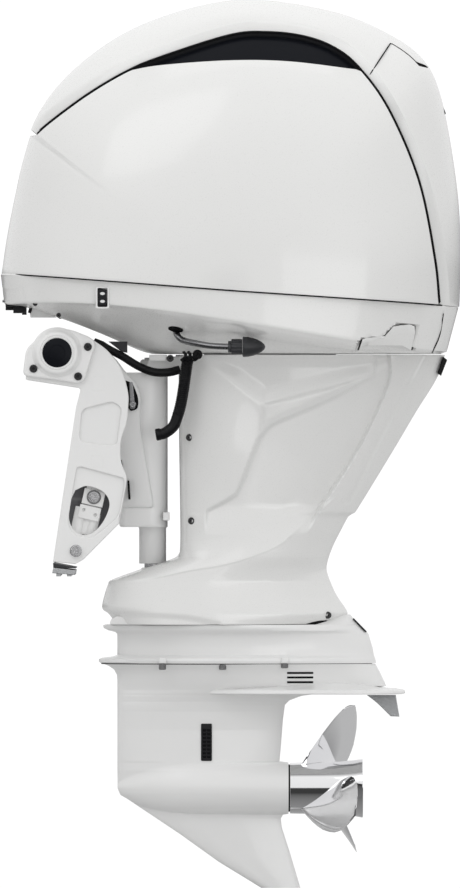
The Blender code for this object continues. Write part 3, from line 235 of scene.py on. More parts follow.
def distance_to(line, x, z):
    """Distance from points of the side view to a line, and the sign of the side: positive on its left."""
    best = np.full(np.shape(x), 1e9)
    sign = np.ones(np.shape(x))
    for (ax, az), (bx, bz) in zip(line, line[1:]):
        dx, dz = bx - ax, bz - az
        length = dx * dx + dz * dz + 1e-18
        t = np.clip(((x - ax) * dx + (z - az) * dz) / length, 0, 1)
        away = np.hypot(x - ax - t * dx, z - az - t * dz)
        turned = np.sign(dx * (z - az) - dz * (x - ax))
        near = away < best
        sign = np.where(near, turned, sign)
        best = np.where(near, away, best)
    return best, sign


def inside(outline, x, z):
    """Signed distance to a closed outline, positive inside."""
    ring = np.vstack([outline, outline[:1]])
    best, _ = distance_to(ring, x, z)
    crossings = np.zeros(np.shape(x), int)
    for (ax, az), (bx, bz) in zip(ring, ring[1:]):
        spans = (az > z) != (bz > z)
        cut = ax + (z - az) / (bz - az if bz != az else 1e-12) * (bx - ax)
        crossings += spans & (x < cut)
    return np.where(crossings % 2 == 1, best, -best)


# ---------------------------------------------------------------- meshes

def mesh_object(name, verts, faces, look, sharp=38.0):
    mesh = bpy.data.meshes.new(name)
    mesh.from_pydata([tuple(map(float, v)) for v in verts], [], faces)
    mesh.update()
    mesh.shade_smooth()
    mesh.set_sharp_from_angle(angle=math.radians(sharp))
    obj = bpy.data.objects.new(name, mesh)
    mesh.materials.append(LOOKS[look])
    bpy.context.scene.collection.objects.link(obj)
    return obj


def grid_faces(n, m, start=0, wrap=False, flip=False):
    """Quads of an n by m grid of points."""
    faces = []
    for i in range(n - 1):
        for j in range(m if wrap else m - 1):
            k = (j + 1) % m
            quad = (start + i * m + j, start + i * m + k, start + (i + 1) * m + k, start + (i + 1) * m + j)
            faces.append(quad[::-1] if flip else quad)
    return faces


def normals_of(points, outward):
    """Unit normals of a grid of points, turned to the side of the outward direction."""
    du = np.gradient(points, axis=0)
    dv = np.gradient(points, axis=1)
    normal = np.cross(du, dv)
    normal /= np.linalg.norm(normal, axis=2, keepdims=True) + 1e-12
    facing = np.sum(normal * np.array(outward), axis=2, keepdims=True)
    return normal * np.where(facing.mean() < 0, -1.0, 1.0)


def lipped(points, edges, radius=0.0015, depth=0.010, outward=(0.0, -1.0, 0.0)):
    """The grid with a rounded edge and an inward lip at each named edge.

    r0 and r1 are the first and last row, c0 and c1 the first and last column.
    """
    for edge in edges:
        normal = normals_of(points, outward)
        if edge[0] == "c":
            points, normal = points.swapaxes(0, 1), normal.swapaxes(0, 1)
        if edge[1] == "0":
            points, normal = points[::-1], normal[::-1]
        end, out = points[-1], normal[-1]
        along = end - points[-2]
        along /= np.linalg.norm(along, axis=1, keepdims=True) + 1e-12
        extra = []
        for turn in (25, 50, 75, 90):
            a = math.radians(turn)
            extra.append(end + along * radius * math.sin(a) - out * radius * (1 - math.cos(a)))
        extra.append(extra[-1] - out * depth)
        points = np.concatenate([points, np.array(extra)])
        if edge[1] == "0":
            points = points[::-1]
        if edge[0] == "c":
            points = points.swapaxes(0, 1)
    return points


def shell(name, grids, look, mirror=True, sharp=38.0):
    """One mesh from grids of points on the port side, each mirrored to starboard."""
    verts, faces = [], []
    for points in grids:
        n, m = points.shape[:2]
        normal = np.cross(points[n // 2 + 1 if n > 2 else 1, m // 2] - points[n // 2, m // 2],
                          points[n // 2, m // 2 + 1 if m > 2 else 1] - points[n // 2, m // 2])
        flip = normal[1] > 0
        faces += grid_faces(n, m, len(verts), flip=not flip)
        verts += list(points.reshape(-1, 3))
        if mirror:
            faces += grid_faces(n, m, len(verts), flip=flip)
            verts += list(points.reshape(-1, 3) * (1, -1, 1))
    obj = mesh_object(name, verts, faces, look, sharp)
    weld = obj.modifiers.new("Weld", "WELD")
    weld.merge_threshold = 0.0002
    return obj


def loft(name, rings, look, cap=True, sharp=38.0):
    """Closed rings of points joined into a skin."""
    rings = np.array(rings, float)
    n, m = rings.shape[:2]
    faces = grid_faces(n, m, wrap=True)
    if cap:
        faces += [tuple(range(m))[::-1], tuple(range((n - 1) * m, n * m))]
    obj = mesh_object(name, rings.reshape(-1, 3), faces, look, sharp)
    face_out(obj)
    return obj


def face_out(obj):
    bm = bmesh.new()
    bm.from_mesh(obj.data)
    bmesh.ops.recalc_face_normals(bm, faces=bm.faces)
    bm.to_mesh(obj.data)
    bm.free()


def basis(axis):
    """A matrix that turns +Z onto the axis."""
    return Vector(axis).normalized().to_track_quat("Z", "Y").to_matrix().to_4x4()


def lathe(name, profile, start, axis, look, steps=48, sharp=35.0):
    """A turned piece: profile is (radius, distance along the axis)."""
    place = Matrix.Translation(Vector(start)) @ basis(axis)
    rings = []
    for radius, along in profile:
        rings.append([tuple(place @ Vector((radius * math.cos(t), radius * math.sin(t), along)))
                      for t in span(0, 2 * math.pi, steps)[:-1]])
    return loft(name, rings, look, sharp=sharp)


def swept(name, path, radii, look, sides=20, cap=True):
    """A pipe along a path. radii is one radius or one for each point."""
    path = [Vector(p) for p in path]
    radii = np.broadcast_to(np.array(radii, float), (len(path),))
    up = Vector((0, 1, 0))
    rings = []
    for i, point in enumerate(path):
        ahead = (path[min(i + 1, len(path) - 1)] - path[max(i - 1, 0)]).normalized()
        side = ahead.cross(up).normalized()
        up = side.cross(ahead).normalized()
        rings.append([tuple(point + (side * math.cos(t) + up * math.sin(t)) * radii[i])
                      for t in span(0, 2 * math.pi, sides)[:-1]])
    return loft(name, rings, look, cap=cap)


def prism(name, outline, low, high, look, bevel=0.0015, holes=(), segments=3):
    """An outline in the side view (x, z) pulled across from y = low to y = high, with rounded edges."""
    curve = bpy.data.curves.new(name, "CURVE")
    curve.dimensions = "2D"
    curve.fill_mode = "BOTH"
    curve.extrude = (high - low) / 2 - bevel
    curve.bevel_depth = bevel
    curve.bevel_resolution = segments
    curve.offset = -bevel
    for line in (outline, *holes):
        spline = curve.splines.new("POLY")
        spline.points.add(len(line) - 1)
        for point, (x, z) in zip(spline.points, line):
            point.co = (x, z, 0, 1)
        spline.use_cyclic_u = True
    shape = bpy.data.objects.new(name + "_outline", curve)
    bpy.context.scene.collection.objects.link(shape)
    shape.matrix_world = Matrix.Translation((0, (low + high) / 2, 0)) @ Matrix.Rotation(math.pi / 2, 4, "X")
    bpy.context.view_layer.update()
    mesh = bpy.data.meshes.new_from_object(shape.evaluated_get(bpy.context.evaluated_depsgraph_get()))
    mesh.transform(shape.matrix_world)
    bpy.data.objects.remove(shape)
    mesh.materials.clear()
    mesh.materials.append(LOOKS[look])
    mesh.shade_smooth()
    mesh.set_sharp_from_angle(angle=math.radians(38))
    obj = bpy.data.objects.new(name, mesh)
    bpy.context.scene.collection.objects.link(obj)
    return obj


def block(name, low, high, look, bevel=0.002, segments=3):
    """A moulded block with rounded edges."""
    (x0, y0, z0), (x1, y1, z1) = low, high
    outline = [(x0, z0), (x1, z0), (x1, z1), (x0, z1)]
    return prism(name, outline, y0, y1, look, bevel, segments=segments)


def arc(centre, radius, start, end, count):
    return [(centre[0] + radius * math.cos(math.radians(a)), centre[1] + radius * math.sin(math.radians(a)))
            for a in span(start, end, count)]


def circle(x, z, radius, count=40):
    return arc((x, z), radius, 0, 360, count)[:-1]


def joined(name, parts, body, *nodes):
    """The parts made into one piece that rides on a body and stands for CAD nodes."""
    bpy.context.view_layer.update()
    first = parts[0]
    for part in parts:
        for modifier in list(part.modifiers):
            with bpy.context.temp_override(object=part):
                bpy.ops.object.modifier_apply(modifier=modifier.name)
    if len(parts) > 1:
        with bpy.context.temp_override(active_object=first, selected_editable_objects=parts):
            bpy.ops.object.join()
    first.name = name
    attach(first, body)
    if nodes:
        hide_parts(*nodes)
    return first


def rounded(points, radius, steps=5):
    """A closed outline with its corners rounded off."""
    out = []
    pts = [np.array(p, float) for p in points]
    for i, corner in enumerate(pts):
        before, after = pts[i - 1] - corner, pts[(i + 1) % len(pts)] - corner
        r = min(radius, 0.45 * np.linalg.norm(before), 0.45 * np.linalg.norm(after))
        a = corner + before / np.linalg.norm(before) * r
        b = corner + after / np.linalg.norm(after) * r
        out += [tuple((1 - t) ** 2 * a + 2 * t * (1 - t) * corner + t * t * b)
                for t in np.linspace(0, 1, steps + 1)]
    return out


# ---------------------------------------------------------------- top cowl

def polar(line):
    """Angle and distance from the cowl's centre along a line of the side view, in rising order of angle."""
    fine = smooth_line(line, 10)
    angle = np.arctan2(fine[:, 1] - COWL_CENTRE[1], fine[:, 0] - COWL_CENTRE[0])
    reach = np.hypot(fine[:, 0] - COWL_CENTRE[0], fine[:, 1] - COWL_CENTRE[1])
    order = np.argsort(angle)
    return angle[order], reach[order]


SIDE_TABLE, CROWN_TABLE, SILL_TABLE = polar(COWL_SIDE), polar(CROWN_LINE), polar(WINDOW_SILL)
PAINTED_SHADE_DEPTH = 0.0020
TIP_EASE = math.radians(9)
WINDOW_REAR, WINDOW_FRONT = SILL_TABLE[0][0], SILL_TABLE[0][-1]
SEAM_REAR_ANGLE = math.atan2(SEAM_REAR[1] + SEAM_GAP - COWL_CENTRE[1], SEAM_REAR[0] - COWL_CENTRE[0])
SEAM_FRONT_ANGLE = math.atan2(SEAM_FRONT[1] + SEAM_GAP - COWL_CENTRE[1], SEAM_FRONT[0] - COWL_CENTRE[0])


def reach_at(table, angle):
    return np.interp(angle, *table)


def eased_reach(angle, share):
    """Reach of the silhouette, whose kink at the crown's tip fades out towards the middle of the side."""
    sharp = reach_at(SIDE_TABLE, angle)
    turns = np.linspace(-TIP_EASE, TIP_EASE, 21)
    weights = 1 + np.cos(turns / TIP_EASE * math.pi)
    soft = sum(reach_at(SIDE_TABLE, angle + turn) * weight
               for turn, weight in zip(turns, weights)) / weights.sum()
    near = smoothstep(1.6 - np.abs(angle - TIP_ANGLE) / TIP_EASE)
    return sharp + (soft - sharp) * near * (1 - smoothstep((share - 0.88) / 0.12))


def cowl_points(angle, share, inset=0.0):
    """Points on the cowl's port side. share runs from 0 at its centre to 1 on its mid-plane silhouette."""
    reach = eased_reach(angle, share) - inset
    x = COWL_CENTRE[0] + np.cos(angle) * reach * share
    z = COWL_CENTRE[1] + np.sin(angle) * reach * share
    y = -(COWL_HALF_WIDTH - inset) * np.sqrt(np.maximum(0.0, 1 - np.minimum(share, 1.0) ** SIDE_FULLNESS))
    return np.stack([x, y, z], axis=-1)


def cowl_grid(angles, low, high, steps, inset=0.0):
    """A grid of the cowl's skin between two shares.

    low and high are arrays over the angles, or numbers.
    """
    angles = np.array(angles)[:, None]
    low = np.broadcast_to(np.reshape(low, (-1, 1)), angles.shape)
    high = np.broadcast_to(np.reshape(high, (-1, 1)), angles.shape)
    turn_low = np.arcsin(np.clip(low, 0, 1) ** (SIDE_FULLNESS / 2))
    turn_high = np.arcsin(np.clip(high, 0, 1) ** (SIDE_FULLNESS / 2))
    turn = turn_low + (turn_high - turn_low) * np.linspace(0, 1, steps + 1)[None, :]
    share = np.sin(turn) ** (2 / SIDE_FULLNESS)
    return cowl_points(np.broadcast_to(angles, share.shape), share, inset), share


def gap_share(table, angles, gap):
    return np.clip((reach_at(table, angles) + gap) / reach_at(SIDE_TABLE, angles), 0.0, 1.0)


def angles_between(*stops):
    """Angles through all the stops in order, about 1.2 degrees apart."""
    out = [stops[0]]
    for a, b in zip(stops, stops[1:]):
        out += list(span(a, b, max(2, int(abs(b - a) / math.radians(1.2)))))[1:]
    return np.array(out)


def make_side_shell():
    """Port and starboard sides of the cowl, with rolled edges along the gaps."""
    angles = angles_between(SEAM_REAR_ANGLE, WINDOW_REAR, WINDOW_FRONT, TIP_ANGLE, SEAM_FRONT_ANGLE)
    top = np.where((angles > WINDOW_REAR) & (angles < WINDOW_FRONT), gap_share(SILL_TABLE, angles, 0.0),
                   gap_share(CROWN_TABLE, angles, -PANEL_GAP))
    top = np.where(angles > TIP_ANGLE, 1.0, top)
    points, _ = cowl_grid(angles, 0.0, top, 46)
    x, z = points[..., 0], points[..., 2]
    shoulder, _ = distance_to(smooth_line([(0.05, 0.560), (0.20, 0.640), (0.39, 0.672), (0.56, 0.670),
                                           (0.66, 0.640)], 6), x, z)
    above = smoothstep((z - 0.56) / 0.14)
    rolled = smoothstep(1 - shoulder / 0.085) * above
    points[..., 1] += -0.0035 * rolled
    solid = angles <= TIP_ANGLE
    back = points[solid]
    nose = points[~solid]
    grids = [lipped(back, ("c1", "r0"), 0.0022, 0.012),
             lipped(np.concatenate([back[-1:], nose]), ("r1",), 0.0022, 0.012)]
    return joined("cowl_side_panels", [shell("cowl_side_panels_skin", grids, "paint")], "top_cowl",
                  "cowl_side_shell")


def chamfered(angles, high, steps, proud):
    """Grid of the crown or rear cap: a flat chamfer strip along its lower gap, then the outer skin."""
    low = gap_share(CROWN_TABLE, angles, PANEL_GAP)
    crease = np.minimum(gap_share(CROWN_TABLE, angles, PANEL_GAP + CHAMFER_WIDTH), high - 0.002)
    strip = []
    for t in np.linspace(0, 1, 5):
        share = (low + (crease - low) * t)[:, None]
        inset = -proud + CHAMFER_DEPTH * (1 - t)
        strip.append(cowl_points(angles[:, None], share, inset)[:, 0]
                     + (0, CHAMFER_TILT * (1 - t) - RIDGE_PROUD * t, 0))
    skin, share = cowl_grid(angles, crease, high, steps, -proud)
    past = (share - np.reshape(crease, (-1, 1))) * reach_at(SIDE_TABLE, angles)[:, None]
    closing = np.minimum(1.0, (1 - share) / 0.03)
    skin[..., 1] -= RIDGE_PROUD * np.exp(-past / 0.022) * closing
    return np.concatenate([np.array(strip).swapaxes(0, 1)[:, :-1], skin], axis=1)


def make_crown():
    """Top moulding from the front tip to the rear cap, which runs on over the rear cap's corner."""
    main = chamfered(angles_between(REAR_CAP_ANGLE + 0.0022, math.radians(80), TIP_ANGLE), 1.0, 34,
                     CROWN_PROUD)
    corner_angles = angles_between(REAR_CAP_TOP_ANGLE + 0.0022, REAR_CAP_ANGLE + 0.0022)
    rounded = smoothstep(1 - (corner_angles - REAR_CAP_TOP_ANGLE) / 0.045) * 0.020
    corner, _ = cowl_grid(corner_angles, REAR_CAP_SHARE + 0.0028 + rounded, 1.0, 10, -CROWN_PROUD)
    grids = [lipped(main, ("c0", "r0"), 0.0022, 0.010),
             lipped(corner, ("c0", "r0"), 0.0018, 0.008)]
    return joined("cowl_crown_moulding", [shell("crown_skin", grids, "paint")], "top_cowl", "cowl_crown")


REAR_INTAKE = ((0.8008, 0.6644), (0.8228, 0.6402), (0.8448, 0.5962), (0.8622, 0.5402), (0.8492, 0.5324),
               (0.8404, 0.5368), (0.8300, 0.5808), (0.8150, 0.6248))


def make_rear_fittings():
    """Slot on the back of the cowl as a flat strip of painted shade, and a small black catch."""
    slot = prism("slot", [(0.8440, 0.6230), (0.8500, 0.6240), (0.8620, 0.5950), (0.8590, 0.5920)], -0.022,
                 0.022, "recess", 0.0008)
    catch = prism("catch", [(0.8760, 0.4640), (0.8810, 0.4640), (0.8830, 0.4450), (0.8780, 0.4440)],
                  -0.016, 0.016, "black", 0.0010)
    joined("rear_cowl_fittings", [slot, catch], "top_cowl")


def make_rear_cap():
    """Rear moulding from the crown down the back to the seam."""
    low_angles = angles_between(SEAM_REAR_ANGLE, math.radians(20), REAR_CAP_TOP_ANGLE - 0.0004)
    high_angles = angles_between(REAR_CAP_TOP_ANGLE - 0.0004, REAR_CAP_ANGLE - 0.0022)
    top = np.where(high_angles < REAR_CAP_TOP_ANGLE, 1.0, REAR_CAP_SHARE)
    top = np.minimum(top, REAR_CAP_SHARE + 0.020 * smoothstep(1 - (high_angles - REAR_CAP_TOP_ANGLE) / 0.045))
    lower = chamfered(low_angles, 1.0, 34, CROWN_PROUD)
    upper = chamfered(high_angles, top, 34, CROWN_PROUD)
    hollow = smoothstep(inside(np.array(REAR_INTAKE), upper[..., 0], upper[..., 2]) / 0.004)[..., None]
    upper = upper + hollow * (-0.0080, 0.0050, -0.0035)
    grids = [lipped(lower, ("c0", "r0"), 0.0022, 0.010),
             lipped(upper, ("c0", "c1", "r1"), 0.0018, 0.008)]
    return joined("cowl_rear_moulding", [shell("rear_cap_skin", grids, "paint")], "top_cowl", "cowl_rear_cap")


def make_window():
    """Dark intake duct behind the side openings, and black sheets of painted shade behind the panel gaps."""
    angles = angles_between(WINDOW_REAR + 0.01, WINDOW_FRONT - 0.01)
    duct, _ = cowl_grid(angles, gap_share(SILL_TABLE, angles, -0.030),
                        gap_share(CROWN_TABLE, angles, 0.030), 14, 0.010)
    # Black strips of painted shade under the panel gaps and along the rear cap's corner, where the shade
    # inside the gaps falls.
    gaps = angles_between(SEAM_REAR_ANGLE + 0.01, REAR_CAP_ANGLE, TIP_ANGLE - 0.02)
    strip, _ = cowl_grid(gaps, gap_share(CROWN_TABLE, gaps, -0.0045), gap_share(CROWN_TABLE, gaps, 0.0045), 4,
                         PAINTED_SHADE_DEPTH)
    corner = angles_between(REAR_CAP_TOP_ANGLE - 0.02, REAR_CAP_ANGLE + 0.02)
    edge, _ = cowl_grid(corner, REAR_CAP_SHARE - 0.03, 0.998, 6, 0.0014 - CROWN_PROUD)
    column = np.linspace(REAR_CAP_ANGLE - 0.02, REAR_CAP_ANGLE + 0.02, 4)
    seam, _ = cowl_grid(column, gap_share(CROWN_TABLE, column, CHAMFER_WIDTH), 0.985, 20,
                        0.0014 - CROWN_PROUD)
    window = shell("duct_skin", [duct], "black_gloss")
    painted_shade = shell("gap_painted_shade", [strip, edge, seam], "recess")
    joined("intake_openings", [window], "top_cowl", "intake_duct")
    joined("cowl_gap_painted_shade", [painted_shade], "top_cowl")
    make_gap_lines()


def both_sides(name, points, radius, look):
    """The same thin tube on port and starboard."""
    return [swept(name, [(x, side * abs(y), z) for x, y, z in points], radius, look, sides=8)
            for side, _ in SIDES]


def make_gap_lines():
    """Thin black lines of painted shade in the gaps between the mouldings, and in the seam under the top
    cowl.
    """
    gaps = angles_between(SEAM_REAR_ANGLE + 0.004, REAR_CAP_ANGLE, TIP_ANGLE - 0.004)
    shade_lines = both_sides("panel_gap_shade", cowl_points(gaps, gap_share(CROWN_TABLE, gaps, 0.0), 0.0006), 0.0015,
                       "recess")
    crease = float(gap_share(CROWN_TABLE, REAR_CAP_ANGLE, CHAMFER_WIDTH))
    rise = np.linspace(float(gap_share(CROWN_TABLE, REAR_CAP_ANGLE, 0.005)), REAR_CAP_SHARE, 20)
    sunk = np.clip((crease - rise) / (crease - rise[0]), 0, 1)
    column = cowl_points(np.full(len(rise), REAR_CAP_ANGLE), rise, 0.0004 - CROWN_PROUD
                         + CHAMFER_DEPTH * sunk)
    column = column + sunk[:, None] * (0, CHAMFER_TILT + RIDGE_PROUD, 0) - (0, RIDGE_PROUD * 0.8, 0)
    across = np.linspace(REAR_CAP_ANGLE, REAR_CAP_TOP_ANGLE, 30)[1:]
    level = REAR_CAP_SHARE + 0.0014 + 0.020 * smoothstep(1 - (across - REAR_CAP_TOP_ANGLE) / 0.045)
    corner = cowl_points(across, level, 0.0004 - CROWN_PROUD)
    shade_lines += both_sides("corner_gap_shade", np.concatenate([column, corner]), 0.0013, "recess")
    joined("cowl_gap_shade_lines", shade_lines, "top_cowl")
    shares = np.sin(np.linspace(0, math.pi / 2, 60)) ** (2 / SIDE_FULLNESS)
    rear = cowl_points(np.full(60, SEAM_REAR_ANGLE), shares, 0.0004)
    front = cowl_points(np.full(60, SEAM_FRONT_ANGLE), shares, 0.0004)
    line = np.concatenate([front[::-1][shares[::-1] < 0.94], rear[1:][shares[1:] < 0.93]]) - (0, 0, SEAM_GAP)
    joined("cowl_seam_shade_line", both_sides("seam_shade_line", line, 0.0016, "recess"), "motor")


# ---------------------------------------------------------------- bottom cowl

# Rings of the pan: front x, rear x, half width, then heights at the shares of its length in PAN_STATIONS
PAN_FLOOR = round(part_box("bottom_cowl")[0].z, 4)
PAN_STATIONS = (0.0, 0.45, 0.8, 1.0)
PAN_RINGS = (
    (-0.1170, 0.8890, 0.3150, 0.2400, 0.2067, 0.1808, 0.1660),
    (-0.1090, 0.8640, 0.3130, 0.1740, 0.1480, 0.0930, 0.0710),
    (-0.0600, 0.8580, 0.2950, 0.1700, 0.1340, 0.0810, 0.0690),
    (0.0154, 0.8530, 0.2450, 0.1450, 0.1120, 0.0720, 0.0680),
    (0.1000, 0.8500, 0.1900, 0.1130, 0.0940, 0.0690, 0.0670),
    (0.2046, 0.8600, 0.1300, PAN_FLOOR, PAN_FLOOR, PAN_FLOOR, PAN_FLOOR),
    (0.2700, 0.7600, 0.0850, PAN_FLOOR, PAN_FLOOR, PAN_FLOOR, PAN_FLOOR),
)
PAN_NOSE = 2.6
PAN_SIDE = 2.4
LATCH_OUTLINE = ((0.6630, 0.0700), (0.6690, 0.0880), (0.6765, 0.0985), (0.7170, 0.0985), (0.7270, 0.1050),
                 (0.7440, 0.1240), (0.7520, 0.1280), (0.7985, 0.1280), (0.7900, 0.0700))


def ring_heights(values, share):
    """Heights of a ring at shares of its length: the cubic through its four heights."""
    total = 0.0
    for i, (station, height) in enumerate(zip(PAN_STATIONS, values[3:])):
        for j, other in enumerate(PAN_STATIONS):
            if j != i:
                height = height * (share - other) / (station - other)
        total = total + height
    return total


def ring_points(values, angle):
    front, rear, half_width = values[:3]
    c, s = np.cos(angle), np.sin(angle)
    x = (front + rear) / 2 - (rear - front) / 2 * np.sign(c) * np.abs(c) ** (2 / PAN_NOSE)
    y = -half_width * np.abs(s) ** (2 / PAN_SIDE)
    return np.stack([x, y, ring_heights(values, (x - front) / (rear - front))], axis=-1)


def rounded_rows(rows, softness, steps):
    """Rows between the control rows: straight spans whose corners are rounded over a share of each span."""
    out = [rows[0]]
    for i in range(1, len(rows) - 1):
        a, b, c = rows[i - 1], rows[i], rows[i + 1]
        start, stop = b + (a - b) * softness[i], b + (c - b) * softness[i]
        last = out[-1]
        out += [last + (start - last) * t for t in np.linspace(0, 1, steps + 1)[1:]]
        out += [(1 - t) ** 2 * start + 2 * t * (1 - t) * b + t * t * stop for t in np.linspace(0, 1, 6)[1:]]
    out += [out[-1] + (rows[-1] - out[-1]) * t for t in np.linspace(0, 1, steps + 1)[1:]]
    return np.array(out)


def pan_grid(steps=190):
    angle = np.linspace(0.0, math.pi, steps + 1)
    rows = [ring_points(values, angle) for values in PAN_RINGS]
    return rounded_rows(rows, (0, 0.10, 0.45, 0.48, 0.48, 0.30, 0), 14)


def pan_half_width(x, z):
    """Half width of the pan's outside at a point of its side view."""
    found = []
    for values in PAN_RINGS[:-1]:
        front, rear, half_width = values[:3]
        u = abs(2 * (x - front) / (rear - front) - 1)
        if u < 1:
            found.append((float(ring_heights(values, (x - front) / (rear - front))),
                          half_width * (1 - u ** PAN_NOSE) ** (1 / PAN_SIDE)))
    found.sort()
    return float(np.interp(z, [f[0] for f in found], [f[1] for f in found]))


def pan_place(x, z, side, out=0.0, reach=0.012):
    """Axes on the pan's side at a point of its side view: x along it, y up it, z out of it."""
    def on_pan(px, pz):
        return Vector((px, side * pan_half_width(px, pz), pz))

    along = (on_pan(x + reach, z) - on_pan(x - reach, z)).normalized()
    up = (on_pan(x, z + reach) - on_pan(x, z - reach)).normalized()
    outward = along.cross(up).normalized() * -side
    up = (up - outward * up.dot(outward)).normalized()
    place = Matrix((up.cross(outward), up, outward)).transposed().to_4x4()
    place.translation = on_pan(x, z) + outward * out
    return place


def stroke(x, z, line, width):
    """1 on a line of the side view, falling to 0 at a distance."""
    away, _ = distance_to(line, x, z)
    return smoothstep(1 - away / width)


def carve_pan(points):
    """Recess for the latch, seams and the framed panel, pressed into the pan's skin."""
    x, z = points[..., 0], points[..., 2]
    normal = normals_of(points, (0.0, -1.0, 0.0))
    pressed = 0.014 * smoothstep(inside(np.array(LATCH_OUTLINE), x, z) / 0.0035 + 0.5)
    pressed += 0.0030 * stroke(x, z, [(0.8560, 0.158), (0.8540, 0.142), (0.8470, 0.105), (0.8300, 0.060)],
                               0.0030)
    pressed += 0.0012 * stroke(x, z, [(-0.125, 0.2085), (-0.0700, 0.2085), (-0.0630, 0.1780)], 0.0030)
    switch = inside(np.array([(0.0975, 0.1670), (0.1195, 0.1670), (0.1195, 0.2070), (0.0975, 0.2070)]), x, z)
    pressed += 0.004 * smoothstep(switch / 0.003 + 0.5) * (points[..., 1] < 0)
    dimple = np.hypot(x - 0.395, (z - 0.112) * 1.5)
    pressed += 0.004 * smoothstep(1.3 - dimple / 0.032)
    rows = np.linspace(0, 1, len(points))[:, None]
    return points - normal * (pressed * smoothstep(rows * 40))[..., None]


def make_pan():
    points = carve_pan(pan_grid())
    skin = lipped(points, ("r0",), 0.0022, 0.010)
    pan = shell("pan_skin", [skin], "paint")
    return joined("pan", [pan], "motor", "bottom_cowl")


def disc_at(name, place, radius, height, look, dish=0.35):
    """A domed screw head with a sunk middle, out of a place."""
    axis = place.col[2].xyz
    profile = [(0.0, height * dish), (radius * 0.42, height * dish), (radius * 0.50, height),
               (radius * 0.82, height), (radius, height * 0.6), (radius, -0.002), (0.0, -0.002)]
    return lathe(name, profile, place.translation, axis, look, steps=28)


def side_place(x, y, z, side=PORT):
    place = Matrix.Rotation(math.pi / 2 if side == PORT else -math.pi / 2, 4, "X")
    place.translation = (x, y, z)
    return place


def latch_points(side):
    """Lever of the latch inside its recess: a flat grip below a sloping web, with a finger hollow."""
    outline = smooth_line(LATCH_OUTLINE, 3)
    centre = outline.mean(axis=0)
    rows = []
    for shrink, depth in ((0.90, 0.0085), (0.90, 0.0030), (0.87, 0.0018), (0.60, 0.0020), (0.30, 0.0030),
                          (0.02, 0.0035)):
        ring = centre + (outline - centre) * shrink
        row = []
        for x, z in ring:
            hollow = 0.0045 * float(smoothstep(1 - math.hypot(x - 0.765, (z - 0.090) * 0.8) / 0.026))
            rise = 0.0030 * float(smoothstep((z - 0.095) / 0.02)) * float(smoothstep((x - 0.70) / 0.02))
            y = pan_half_width(x, z) - depth - hollow + rise
            row.append((x, side * y, z))
        rows.append(row)
    return rows


def make_latches():
    for side, word in SIDES:
        lever = loft("latch_lever_" + word, latch_points(side), "paint", sharp=30)
        shadow = loft("latch_gap_" + word, [[(x, y - side * 0.0065, z) for x, y, z in row]
                                            for row in (latch_points(side)[0], latch_points(side)[-1])],
                      "recess")
        for v in shadow.data.vertices:
            v.co.x = 0.7305 + (v.co.x - 0.7305) * 1.06
        joined("latch_shadow_" + word, [shadow], "motor")
        joined("cowl_latch_lever_" + word, [lever], "latch_" + word, "cowl_latch_" + word)


def make_rocker():
    """Trim switch: a black rocker with two plain ovals, upright in a white bezel."""
    x, z = 0.1087, 0.1880
    outer = pan_half_width(x, z + 0.020) + 0.0070
    inner = pan_half_width(x, z - 0.020) - 0.0100
    outline = rounded([(x - 0.0150, z - 0.0245), (x + 0.0150, z - 0.0245), (x + 0.0150, z + 0.0235),
                       (x - 0.0150, z + 0.0235)], 0.005)
    opening = rounded([(x - 0.0108, z - 0.0205), (x + 0.0108, z - 0.0205), (x + 0.0108, z + 0.0205),
                       (x - 0.0108, z + 0.0205)], 0.003)
    bezel = prism("bezel", outline, -outer + 0.0010, -inner, "paint", 0.0012, (opening,))
    # A flat black frame of painted shade in the gap round the rocker.
    bezel_gap_shade = block("bezel_gap_shade", (x - 0.0125, -outer + 0.0085, z - 0.0220),
                       (x + 0.0125, -outer + 0.0110, z + 0.0220), "recess", 0.0005)
    joined("trim_switch_bezel", [bezel, bezel_gap_shade], "motor")
    rocker = block("rocker", (x - 0.0094, -outer - 0.0010, z - 0.0176),
                   (x + 0.0094, -outer + 0.0038, z + 0.0176), "black", 0.0022)
    ovals = []
    for rise in (-0.0085, 0.0085):
        spot = lathe("oval", [(0.0, 0.0006), (0.0036, 0.0006), (0.0039, 0.0), (0.0, -0.0005)], (0, 0, 0),
                     (0, 0, 1), "oval", steps=24)
        spot.matrix_world = side_place(x, -outer - 0.0010, z + rise) @ Matrix.Diagonal((1.35, 0.85, 1, 1))
        ovals.append(spot)
    joined("trim_switch_rocker", [rocker], "trim_switch_body", "trim_switch")
    joined("trim_switch_symbols", ovals, "trim_switch_body")


